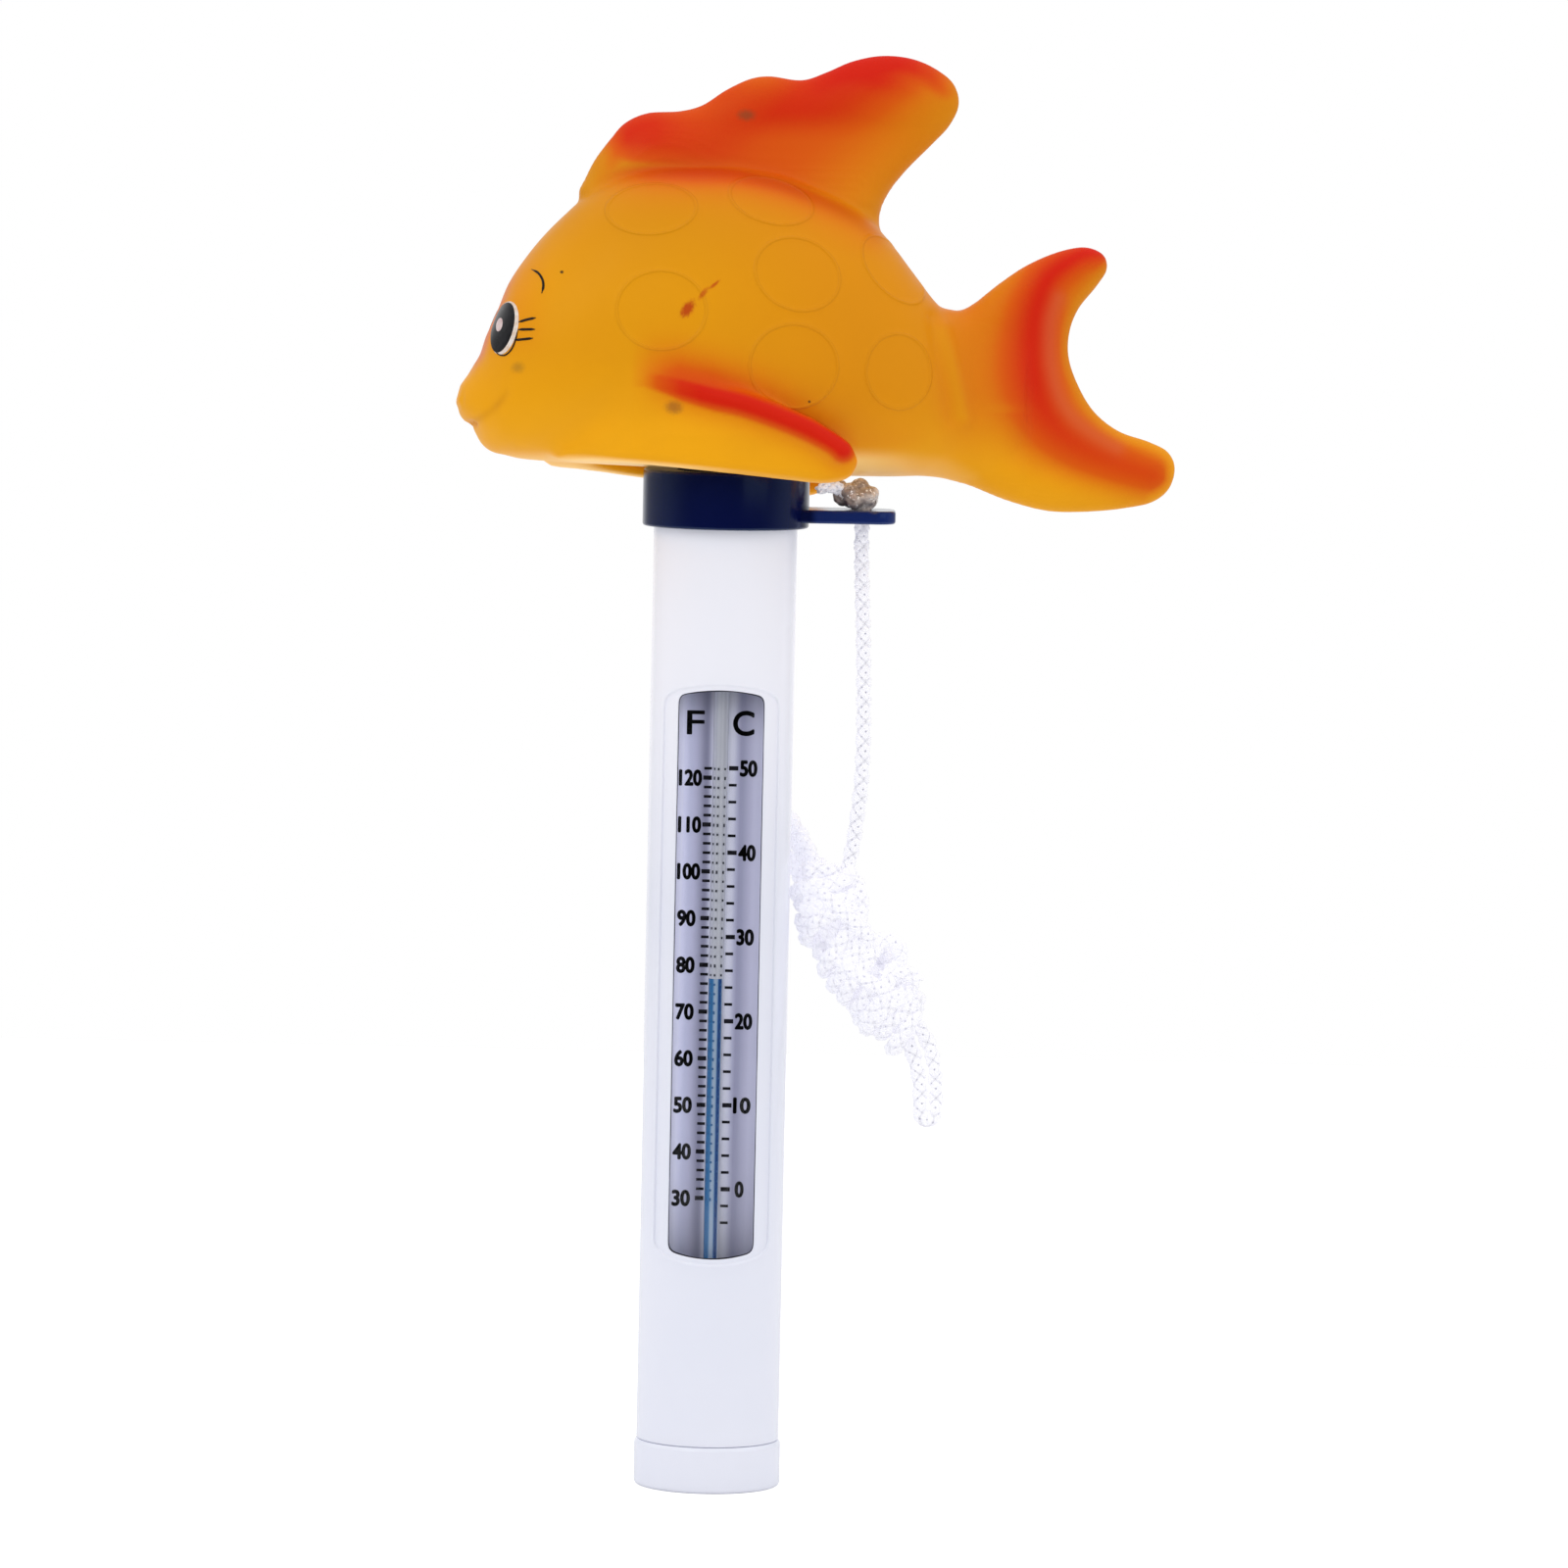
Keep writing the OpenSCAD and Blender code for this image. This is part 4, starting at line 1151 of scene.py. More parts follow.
# body stations along x: height of the back, half width, height of the belly
BACK_X = [-41.3, -41.1, -40.6, -39.9, -38.9, -37.9, -37.1, -36.1, -35.3, -33.75, -31.35, -28.6,
          -25.2, -22.3, -17, -10, -2, 6, 13, 19, 24, 28.3, 31.4, 33.5, 36, 39, 42, 45]
BACK_Z = [10.0, 11.6, 12.8, 13.9, 15.6, 17.4, 19.9, 22.2, 24.1, 28.0, 31.8, 35.3,
          38.8, 41.4, 44.6, 46.2, 46.5, 45.7, 43.6, 40.9, 36.0, 30.6, 26.7, 24.7, 23.6, 22.8,
          21.8, 20.0]
WIDTH_X = [-41.3, -40.9, -40.0, -38.6, -37.0, -35.4, -33.5, -31, -28, -23, -17, -10, -2, 6, 13,
           19, 24, 28, 32, 35, 38, 41, 45]
HALF_WIDTH = [1.4, 3.2, 5.4, 7.6, 9.4, 11.2, 12.8, 14.2, 15.4, 16.8, 17.8, 18.4, 18.6, 18.4,
              17.7, 16.5, 14.9, 12.9, 10.3, 8.0, 6.2, 5.0, 4.0]
BELLY_X = [-41.3, -40.6, -39.8, -38.8, -37.4, -35, -31, -24, -14, 0, 14, 24, 30, 34, 38, 42, 45]
BELLY_Z = [9.8, 8.0, 6.8, 5.7, 4.2, 2.3, 1.3, 0.9, 0.5, 0.0, -0.5, -0.5, -0.3, 0.0, 0.3, 2.0,
           4.6]
# fin outlines: x, z
DORSAL = [(-23.2, 41.7), (-22.2, 44.4), (-20.8, 47.2), (-18.3, 50.6), (-16.3, 52.9),
          (-13, 54.5), (-7.5, 55.0), (-4.4, 55.9), (-0.6, 58.4), (3.2, 60.2), (5.9, 60.6),
          (11.1, 60.1), (14.8, 61.4), (18.6, 63.1), (23.3, 64.1), (28.1, 63.7), (31.9, 62.1),
          (34.5, 59.9), (35.3, 56.9), (33.9, 53.6), (31.2, 50.6), (27.4, 46.7), (24.8, 43.4),
          (23.3, 40.2), (22.9, 36.5), (20, 33), (8, 36), (-6, 38), (-18, 37)]
TAIL = [(33.5, 24.9), (35.5, 25.0), (37.9, 26.3), (41.5, 29.2), (46.2, 32.4), (51.7, 34.7),
        (55.5, 35.2), (58.0, 34.0), (58.5, 32.0), (57.0, 29.4), (54.1, 25.7), (52.8, 22.4),
        (52.6, 18.6), (53.8, 14.7), (56.6, 10.0), (60.5, 7.0), (65.3, 5.4), (68.2, 3.9),
        (69.3, 1.6), (68.4, -1.8), (66.0, -3.8), (61.4, -4.9), (55.8, -5.5), (49.7, -5.5),
        (43.4, -4.0), (37.9, -1.9), (34.0, -0.5), (29, 2.4), (28, 12), (29, 21)]
SIDE_FIN = [(-14.6, 12.8), (-10, 12.5), (-5, 11.6), (3, 9.4), (10.5, 6.2), (15.9, 3.3),
            (18.0, 0.7), (16.9, -1.8), (13.4, -2.8), (8, -2.4), (0.1, -1.6), (-8, -0.8),
            (-15, -0.1), (-21, 0.6), (-26, 1.6), (-24, 2.9), (-19.5, 5.4), (-17.0, 8.6),
            (-16.0, 11.0)]
# capsule chains: x, distance from the middle plane, z, radius
SIDE_RIDGE = [(-12.5, 15.8, 11.8, 1.4), (-8, 16.9, 10.9, 1.9), (0.5, 18.1, 8.8, 2.1),
              (5.2, 18.6, 7.1, 2.1), (10.2, 19.1, 5.0, 2.1), (15.0, 19.4, 1.9, 2.0)]
MOUTH = [[(-39.5, 0, 6.6, 0.35), (-38.8, 3.0, 6.6, 0.3), (-37.5, 5.6, 7.1, 0.1)],
         [(-37.0, 6.6, 7.6, 0.12), (-35.9, 9.0, 8.8, 0.3), (-34.4, 11.2, 10.4, 0.05)]]
# lips: centre, half-axes, blend
LIPS = [((-38.0, 0, 9.8), (3.0, 5.4, 3.0), 1.6), ((-35.3, 0, 5.0), (2.6, 5.4, 2.5), 1.4)]
INSIDE_GAIN = 2.7     # steepness of a fin's field below its skin


def outline_distance(x, z, outline):
    """Signed distance to a closed outline, negative inside."""
    starts = spline(outline, 0.8, closed=True)
    nearest = np.full(x.shape, 1e9)
    inside = np.zeros(x.shape, bool)
    for start, end in zip(starts, np.roll(starts, -1, 0)):
        edge = end - start
        off_x, off_z = x - start[0], z - start[1]
        t = np.clip((off_x * edge[0] + off_z * edge[1]) / (edge @ edge), 0, 1)
        nearest = np.minimum(nearest, (off_x - t * edge[0]) ** 2 + (off_z - t * edge[1]) ** 2)
        spans = (start[1] <= z) != (end[1] <= z)
        rise = edge[1] if abs(edge[1]) > 1e-12 else 1e-12
        inside ^= spans & (x < start[0] + (z - start[1]) / rise * edge[0])
    distance = np.sqrt(nearest)
    return np.where(inside, -distance, distance)


def soft_min(first, second, blend):
    share = np.clip(0.5 + 0.5 * (second - first) / blend, 0, 1)
    return second * (1 - share) + first * share - blend * share * (1 - share)


def capsules(x, y, z, chain):
    nearest = None
    for first, second in zip(chain[:-1], chain[1:]):
        start, end = np.array(first[:3], np.float32), np.array(second[:3], np.float32)
        leg = end - start
        t = np.clip(((x - start[0]) * leg[0] + (y - start[1]) * leg[1]
                     + (z - start[2]) * leg[2]) / (leg @ leg), 0, 1)
        distance = np.sqrt((x - start[0] - t * leg[0]) ** 2 + (y - start[1] - t * leg[1]) ** 2
                           + (z - start[2] - t * leg[2]) ** 2) \
            - (first[3] * (1 - t) + second[3] * t)
        nearest = distance if nearest is None else np.minimum(nearest, distance)
    return nearest


def body_field(x, y, z, cell):
    """Body widest a little below mid height, with a flatter belly than back."""
    top, low, width = (monotone(x, stations, values).astype(np.float32)[:, None, None]
                       for stations, values in ((BACK_X, BACK_Z), (BELLY_X, BELLY_Z),
                                                (WIDTH_X, HALF_WIDTH)))
    x = x[:, None, None]
    middle = low + (top - low) * 0.44
    above, below = top - middle, middle - low
    height = (z - middle) / np.where(z > middle, above, below)
    power = np.where(z > middle, 2.15, 2.75).astype(np.float32)
    level = (np.abs(y) / width) ** 2.3 + np.abs(height) ** power
    field = (np.power(level, 1 / 2.4) - 1) * np.minimum(width, above)
    slope_x, slope_y, slope_z = np.gradient(field, cell)
    steepness = np.sqrt(slope_x * slope_x + slope_y * slope_y + slope_z * slope_z)
    field = field / np.clip(steepness, 0.6, 8.0)
    return np.maximum(field, np.abs(x - 1.9) - 43.2)


def fin_field(distance, thick, edge, y):
    """Fin about the middle plane: thick is its half thickness, edge its rounding depth."""
    depth = np.maximum(distance + edge, 0) / edge
    field = np.sqrt(depth[:, None, :] ** 2 + (np.abs(y) / thick[:, None, :]) ** 2.0) - 1
    return np.where(field < 0, field * INSIDE_GAIN,
                    field * np.minimum(thick, edge)[:, None, :])


def side_fin_field(x, y, z, plane_x, plane_z):
    """Hanging blade with a rounded upper ridge, the same on both sides."""
    from_middle = np.abs(y)
    edge, thick = 1.5, 1.5
    distance = outline_distance(plane_x, plane_z, SIDE_FIN).astype(np.float32)
    centre = (np.interp(plane_x, [-27, -21, -16, -11, -6, 3, 16],
                        [8.5, 12.3, 14.9, 16.4, 17.3, 18.4, 19.3])
              - 0.9 * np.clip((4 - plane_z) / 6, 0, 1)).astype(np.float32)
    depth = np.maximum(distance + edge, 0) / edge
    across = (from_middle - centre[:, None, :]) / thick
    blade = (np.sqrt(depth[:, None, :] ** 2 + across ** 2) - 1) * thick
    return soft_min(blade, capsules(x, from_middle, z, SIDE_RIDGE), 1.0)


def fish_field(cell):
    """Signed field of the whole fish on a grid, and the grid's first corner."""
    x_axis = np.arange(-43.5, 71.5, cell, dtype=np.float32)
    y_axis = np.arange(-23, 23 + cell, cell, dtype=np.float32)
    z_axis = np.arange(-8, 66.5, cell, dtype=np.float32)
    x, y, z = x_axis[:, None, None], y_axis[None, :, None], z_axis[None, None, :]
    field = body_field(x_axis, y, z, cell)
    for centre, half, blend in LIPS:
        reach = np.sqrt(((x - centre[0]) / half[0]) ** 2 + ((y - centre[1]) / half[1]) ** 2
                        + ((z - centre[2]) / half[2]) ** 2)
        field = soft_min(field, (reach - 1) * min(half), blend)
    plane_x, plane_z = np.meshgrid(x_axis, z_axis, indexing="ij")
    distance = outline_distance(plane_x, plane_z, DORSAL).astype(np.float32)
    thick = (2.7 + 3.1 * np.clip((53 - plane_z) / 12.0, 0, 1) ** 1.4
             + 0.9 * np.exp(-((plane_x + 10) / 7) ** 2 - ((plane_z - 50) / 6) ** 2)
             + 0.8 * np.exp(-((plane_x - 24) / 9) ** 2 - ((plane_z - 57) / 5) ** 2))
    field = soft_min(field, fin_field(distance, thick.astype(np.float32), 6.0, y), 0.9)
    distance = outline_distance(plane_x, plane_z, TAIL).astype(np.float32)
    thick = (2.7 + 3.4 * np.clip((46 - plane_x) / 14.0, 0, 1) ** 1.2
             + 0.5 * np.exp(-((plane_x - 46) / 6) ** 2))
    field = soft_min(field, fin_field(distance, thick.astype(np.float32), 5.5, y), 2.0)
    blend = np.interp(x_axis, [-20, -12, -4, 20], [4.5, 3.4, 2.0, 1.8]).astype(np.float32)
    side = side_fin_field(x, y, z, plane_x, plane_z)
    field = soft_min(field, side, blend[:, None, None])
    for chain in MOUTH:
        field = -soft_min(-field, capsules(x, np.abs(y), z, chain), 1.1)
    # hollow for the collar, its neck and its barb, in the part's frame
    part = [row[0] * x + row[1] * y + row[2] * z for row in FISH_TURN]
    part_z = part[2] + np.float32(FISH_Z)
    radius = np.sqrt(part[0] ** 2 + part[1] ** 2)
    field = np.maximum(field, -np.maximum(radius - 13.02, part_z - 156.85))
    field = np.maximum(field, -np.maximum(radius - 7.6, part_z - 160.0))
    field = np.maximum(field, -np.maximum(radius - 8.8, np.abs(part_z - 161.8) - 2.6))
    return field.astype(np.float32), np.array([x_axis[0], y_axis[0], z_axis[0]], float)


def surface_nets(field):
    """Quad mesh of the field's zero surface, in grid cells."""
    inside = field < 0
    size_x, size_y, size_z = (size - 1 for size in field.shape)
    corners = [(i, j, k) for i in (0, 1) for j in (0, 1) for k in (0, 1)]
    count = np.zeros((size_x, size_y, size_z), np.uint8)
    for i, j, k in corners:
        count += inside[i:size_x + i, j:size_y + j, k:size_z + k]
    cells = np.nonzero((count > 0) & (count < 8))
    index = np.full(count.shape, -1, np.int32)
    index[cells] = np.arange(len(cells[0]))
    total, crossings = np.zeros((len(cells[0]), 3)), np.zeros(len(cells[0]))
    for corner in corners:
        for axis in range(3):
            if corner[axis]:
                continue
            end = list(corner)
            end[axis] = 1
            low = field[tuple(cell + step for cell, step in zip(cells, corner))]
            high = field[tuple(cell + step for cell, step in zip(cells, end))]
            crossed = (low < 0) != (high < 0)
            point = np.tile(np.array(corner, float), (crossed.sum(), 1))
            point[:, axis] = low[crossed] / (low[crossed] - high[crossed])
            total[crossed] += point
            crossings[crossed] += 1
    points = np.stack(cells, 1) + total / crossings[:, None]
    quads = []
    for axis in range(3):
        one, two = (axis + 1) % 3, (axis + 2) % 3
        low, high = [slice(1, -1)] * 3, [slice(1, -1)] * 3
        low[axis], high[axis] = slice(None, -1), slice(1, None)
        before, after = inside[tuple(low)], inside[tuple(high)]
        place = np.nonzero(before != after)
        outside = ~before[place]
        around = []
        for back_one, back_two in ((0, 0), (-1, 0), (-1, -1), (0, -1)):
            cell = list(place)
            cell[one] = place[one] - back_one
            cell[two] = place[two] - back_two
            around.append(index[tuple(cell)])
        quad = np.stack(around, 1)
        quad[outside] = quad[outside][:, ::-1]
        quads.append(quad)
    return points, np.concatenate(quads)


def trilinear(field, points):
    cell = np.clip(np.floor(points).astype(int), 0, np.array(field.shape) - 2)
    share = points - cell
    value = 0
    for i in (0, 1):
        for j in (0, 1):
            for k in (0, 1):
                weight = ((share[:, 0] if i else 1 - share[:, 0])
                          * (share[:, 1] if j else 1 - share[:, 1])
                          * (share[:, 2] if k else 1 - share[:, 2]))
                value = value + weight * field[cell[:, 0] + i, cell[:, 1] + j, cell[:, 2] + k]
    return value


def relax(points, quads, field, rounds):
    """Evens the mesh, then puts it back on the surface."""
    edges = np.concatenate([quads[:, [i, (i + 1) % 4]] for i in range(4)])
    edges = np.concatenate([edges, edges[:, ::-1]])
    count = len(points)
    degree = np.bincount(edges[:, 0], minlength=count).astype(float)
    for _ in range(rounds):
        sums = [np.bincount(edges[:, 0], weights=points[edges[:, 1], axis], minlength=count)
                for axis in range(3)]
        points = points + 0.5 * (np.stack(sums, 1) / degree[:, None] - points)
        for _ in range(2):
            value = trilinear(field, points)
            slope = np.stack([trilinear(field, points + shift) - trilinear(field, points - shift)
                              for shift in np.eye(3) * 0.5], 1)
            steepness = np.maximum((slope * slope).sum(1), 1e-4)
            points = points - 0.8 * np.clip(value / steepness, -0.5, 0.5)[:, None] * slope
    return points


# ------------------------------------------------------------------ fish paint, with painted sheen and painted shade
# lines on the flank: x, z
DORSAL_TOP = [(-21.6, 45.5), (-20.7, 47.4), *DORSAL[3:17], (34.0, 60.2)]
DORSAL_FOOT = [(-20, 44.0), (-19, 44.3), (-12.6, 45.0), (-6, 45.2), (0, 45.0), (5, 43.9),
               (9, 42.7), (15.6, 39.9), (19, 38.2), (22, 36.0)]
TAIL_BAND = [(57.5, 34.8), (54.6, 34.2), (51.6, 32.4), (49.1, 30.2), (47.8, 27.3),
             (47.0, 24.2), (46.7, 21.2), (46.6, 18.2), (46.9, 15.2), (47.6, 12.2), (48.9, 9.2),
             (51.0, 6.6), (55.0, 4.0), (59.0, 2.2), (62.6, 0.9), (65.4, 0.0)]
TAIL_EDGE = [(59.3, 32.6), (58.2, 31.4), *TAIL[9:21]]
# painted highlight: streak at the tail root where the spray is thinned
TAIL_ROOT_HIGHLIGHT = [(31.7, 21.0), (32.5, 18.6), (33.6, 14.5), (35.0, 8.5)]
# painted sheen along the tail band
TAIL_SHEEN_LINE = [(50.6, 27.0), (49.6, 24.0), (49.4, 20.0), (49.8, 16.0), (50.9, 12.2),
              (53.0, 9.0), (56.4, 6.3), (60.0, 4.4)]
SIDE_BAR = [(-13.6, 12.3), (-11.0, 11.8), (-7.9, 11.0), (-4.3, 10.1), (0.5, 9.0), (5.2, 7.4),
            (10, 5.5), (14.6, 3.1), (15.6, 2.2)]
# mouth crease, darkened as painted shade
LIP_LINE = [(-39.8, 6.3), (-38.3, 6.9), (-36.8, 8.1), (-35.6, 9.2), (-34.6, 10.3)]
TAIL_CREASE = [(30.6, 23.4), (31.0, 19.0), (32.2, 14.0), (33.4, 8.0)]
TAIL_SWELL = [(32.7, 22.0), (33.4, 18.6), (34.4, 13.5), (35.8, 7.6)]


def turned(x, z, centre_x, centre_z, half_a, half_b, tilt=0.0):
    """Place within a tilted ellipse, along each half-axis."""
    angle = math.radians(tilt)
    off_x, off_z = x - centre_x, z - centre_z
    return ((off_x * math.cos(angle) + off_z * math.sin(angle)) / half_a,
            (-off_x * math.sin(angle) + off_z * math.cos(angle)) / half_b)


def blob(*ellipse):
    along, across = turned(*ellipse)
    return np.exp(-(along * along + across * across))


def bell(distance, width):
    return np.exp(-(distance / width) ** 2)


def line_distance(x, z, line):
    nearest = np.full(x.shape, 1e9)
    points = spline(line, 1.0)
    for start, end in zip(points[:-1], points[1:]):
        leg = end - start
        t = np.clip(((x - start[0]) * leg[0] + (z - start[1]) * leg[1]) / (leg @ leg), 0, 1)
        nearest = np.minimum(nearest, np.hypot(x - start[0] - t * leg[0],
                                               z - start[1] - t * leg[1]))
    return nearest


def ease(start, end, value):
    t = np.clip((value - start) / (end - start), 0, 1)
    return t * t * (3 - 2 * t)


def dorsal_spray(x, z, foot_line):
    """Strongest along the top edge, fading towards the lower rear and below the foot."""
    slant = x - z
    low = np.interp(slant, [-60, -58, -52, -49, -46, -43, -40, -37, -34, -31, -28.5, -26, -24,
                            -21.5, -19, -16],
                    [0.80, 0.81, 0.79, 0.74, 0.64, 0.58, 0.55, 0.51, 0.45, 0.37, 0.30, 0.23,
                     0.18, 0.13, 0.05, 0.0])
    high = np.interp(slant, [-62, -56, -52, -48, -44, -40, -37, -33.5, -30.5, -27, -24, -21,
                             -18],
                     [0.72, 0.76, 0.84, 0.93, 0.93, 0.89, 0.80, 0.60, 0.41, 0.22, 0.12, 0.04,
                      0.0])
    upper = ease(50.0, 55.5, z)
    main = low * (1 - upper) + high * upper + 0.14 * blob(x, z, -12.5, 51.6, 5.0, 3.0, 25)
    above_foot = (z - 44.0) + 0.12 * (x + 16) + 0.25 * np.maximum(x, 0)
    main = main * np.interp(above_foot, [1.5, 2.4, 2.8, 3.5, 4.3, 5.2, 6.0],
                            [0.0, 0.24, 0.48, 0.74, 0.84, 0.94, 1.0])
    main = main * ease(-22.6, -15.5, x + 0.35 * (z - 50))
    along = np.interp(x, [-22, -19.5, -16, -12, -7, 0, 8, 13, 18, 24, 28, 31, 33, 34.8],
                      [0.0, 0.15, 0.80, 0.80, 0.5, 0.0, 0.0, 0.70, 0.90, 0.98, 0.98, 0.80,
                       0.45, 0.12])
    reach = np.interp(x, [-20, -10, 12, 24, 30, 34], [4.5, 5.0, 6.0, 6.6, 5.6, 4.0])
    from_top = line_distance(x, z, DORSAL_TOP)
    band = along * (1 - ease(0, 1, (from_top - 1.6) / (reach - 1.6)))
    patch = 0.86 * blob(x, z, 22.5, 60.0, 7.5, 3.6)
    fin = np.minimum((main ** 5 + (0.94 * band) ** 5 + patch ** 5) ** 0.2, 1.0)
    fin = (fin * (1 - 0.34 * blob(x, z, 4.5, 61.0, 5.0, 2.8))
           * (1 - 0.16 * blob(x, z, -8.5, 56.0, 5.0, 2.2)))
    foot = np.interp(x, [-23, -19.7, -16.4, -13, -9.8, -6.5, -3, 0, 4, 8, 13.4, 16.7, 20, 25],
                     [0.0, 0.16, 0.36, 0.56, 0.67, 0.74, 0.73, 0.69, 0.60, 0.54, 0.43, 0.36,
                      0.25, 0.0])
    below = foot * (0.5 * bell(foot_line, 2.2) + 0.5 * bell(foot_line, 4.6))
    foot_z = np.interp(x, [-24, -22, -19, -12.6, -6, 0, 5, 9, 15.6, 19, 23.5, 30],
                       [41.5, 43.0, 44.3, 45.0, 45.2, 45.0, 43.9, 42.7, 39.9, 38.2, 34.8, 28])
    on_fin = ease(-0.4, 0.7, z - foot_z)
    spray = on_fin * np.maximum(fin, foot * bell(foot_line, 1.5)) + (1 - on_fin) * below
    return spray * ease(39, 35.5, x) * ease(30, 34, z)


def tail_spray(x, z):
    """A broad soft band inside the hollow edge, with a thin bare rim."""
    band_x = np.interp(z, [6.6, 9.2, 12.2, 15.2, 18.2, 21.2, 24.2, 27.3, 30.2, 32.4],
                       [51.0, 48.9, 47.6, 46.9, 46.6, 46.7, 47.0, 47.9, 49.4, 51.8])
    band_z = np.interp(x, [47, 51.0, 55.0, 59.0, 65.4], [9.4, 6.6, 4.0, 2.2, 0.0])
    edge_side = (ease(-0.6, 0.6, x - band_x) * ease(9.0, 12.0, z)
                 + ease(-0.6, 0.6, z - band_z) * ease(12.0, 9.0, z))
    strength = np.interp(z, [-4, 0, 3, 6, 9, 14, 28, 32],
                         [0.58, 0.71, 0.78, 0.84, 0.90, 0.96, 0.99, 1.0])
    body_width = np.interp(z, [-4, -2, 1, 4, 9, 15, 21, 24, 27, 31],
                           [3.6, 4.2, 5.2, 5.7, 6.4, 6.4, 5.7, 5.2, 4.9, 4.0])
    edge_width = np.interp(z, [-2, 3, 9, 13, 20, 24, 27, 31],
                           [3.2, 3.8, 5.0, 5.6, 5.6, 5.2, 4.4, 3.4])
    width = body_width * (1 - edge_side) + edge_width * edge_side
    spray = strength * np.exp(-np.abs(line_distance(x, z, TAIL_BAND) / width) ** 1.8)
    spray = spray * np.interp(line_distance(x, z, TAIL_EDGE), [0.0, 0.8, 1.8, 2.8],
                              [0.26, 0.50, 0.94, 1.0])
    root = (0.22 * ease(26, 38, x) * ease(58, 46, x) * ease(-1.0, 13, z) * ease(33, 24, z))
    spray = np.minimum((np.clip(spray, 0, 1) ** 3 + root ** 3) ** (1 / 3), 1)
    # painted highlight: the spray thins along a streak at the tail root
    spray = spray * (1 - 0.85 * bell(line_distance(x, z, TAIL_ROOT_HIGHLIGHT), 1.2))
    return ease(26, 34, x) * spray


def side_spray(x, z, from_middle):
    """A strong bar along the side fin's ridge, with a glow on the flank above it."""
    from_bar = line_distance(x, z, SIDE_BAR)
    ridge_z = np.interp(x, [-13.6, -11.4, -4.3, 5.2, 10, 17], [12.3, 11.9, 10.1, 7.4, 5.3, 1.2])
    half = np.interp(x, [-14, -9, -4, 16], [1.6, 2.5, 2.9, 2.7])
    bar = 1 - ease(0.0, 1.0, (from_bar - 0.7) / (half - 0.4))
    bar = np.maximum(bar, 0.36 * bell(from_bar, 3.2))
    bar = bar * np.interp(x, [-17, -14.5, -12, -9, -6, 20], [0.0, 0.22, 0.6, 0.92, 1.0, 1.0])
    glow = (bell(np.maximum(z - ridge_z, 0), 5.0)
            * np.interp(x, [-16.5, -13, -9, -4, 0, 5, 12], [0, 0.36, 0.72, 0.80, 0.72, 0.48, 0.12])
            * (z > ridge_z - 1))
    return ease(9, 13, from_middle) * ease(30, 26, z) * np.maximum(bar, glow)


def paint_masks(points):
    """Columns: red, orange, blush with painted sheen, and painted shade, each 0..1."""
    x, z, from_middle = points[:, 0], points[:, 2], np.abs(points[:, 1])
    foot_line = line_distance(x, z, DORSAL_FOOT)
    face = 0.10 * ease(-27, -34, x) * ease(15, 20, z) * ease(40, 30, z)
    spray = np.maximum(dorsal_spray(x, z, foot_line), tail_spray(x, z))
    spray = np.maximum(np.maximum(spray, side_spray(x, z, from_middle)), face)
    spray = np.clip(spray, 0, 1)
    # blush on the forehead and snout, and a painted sheen along the tail band
    front = ease(-31.5, -36.0, x) * ease(13.0, 17, z) * ease(38, 27, z)
    blush_and_sheen = 0.70 * front * ease(0.05, 0.75, np.clip(1 - from_middle / 8.0, 0, 1))
    tail_sheen = 0.30 * bell(line_distance(x, z, TAIL_SHEEN_LINE), 1.3)
    blush_and_sheen = np.maximum(blush_and_sheen, tail_sheen * ease(40, 45, x))
    # painted shade along the dorsal fin's foot and along the mouth crease
    shade = 1 - 0.26 * bell(foot_line, 1.5) * ease(-21, -10, x) * ease(25, 16, x)
    shade = shade * (1 - 0.20 * bell(line_distance(x, z, LIP_LINE), 0.6)
                     * np.interp(x, [-40, -38.5, -37, -36, -35, -34.2],
                                 [1.0, 0.8, 0.6, 1.0, 0.6, 0]))
    return np.stack([np.clip(2 * spray - 1, 0, 1), np.clip(2 * spray, 0, 1), blush_and_sheen, shade], 1)


def fish_relief(points):
    """Height of the moulded scale rings, and of the swell and crease before the tail."""
    x, y, z = points.T
    rise = np.zeros(len(points))
    for ring in RINGS:
        gap = (np.hypot(*turned(x, z, *ring)) - 1) * math.sqrt(ring[2] * ring[3])
        rise = np.maximum(rise, 0.085 * bell(gap, 0.42))
    rise *= (np.abs(y) > 4)
    rise += (np.abs(y) > 2) * (0.34 * bell(line_distance(x, z, TAIL_SWELL), 1.3)
                               - 0.42 * bell(line_distance(x, z, TAIL_CREASE), 1.2))
    return rise


FISH_CELL = 0.42
field, field_corner = fish_field(FISH_CELL)
fish_points, fish_quads = surface_nets(field)
fish_points = relax(fish_points, fish_quads, field / FISH_CELL, 3)
fish_points = fish_points * FISH_CELL + field_corner
placed = to_part(fish_points)
fish = build("fish_body", (placed, [fish_quads]), VINYL, body="head",
             replaces="fish_float")
set_attribute(fish, "fl", "FLOAT_VECTOR", fish_points)
set_attribute(fish, "paint", "FLOAT_COLOR", paint_masks(fish_points))
normals = np.zeros(len(placed) * 3, np.float32)
fish.data.vertices.foreach_get("normal", normals)
raised = placed * MM + normals.reshape(-1, 3) * (fish_relief(fish_points) * MM)[:, None]
fish.data.vertices.foreach_set("co", raised.astype(np.float32).ravel())
fish.data.update()


# ------------------------------------------------------------------ painted eyes
# Thin layers laid on the head along the camera's line of sight; side 1 mirrors them.
EYE_AT_X, EYE_AT_Z = -35.28, 20.15
NOSE_Y = -4.2     # beyond this the head turns to the front
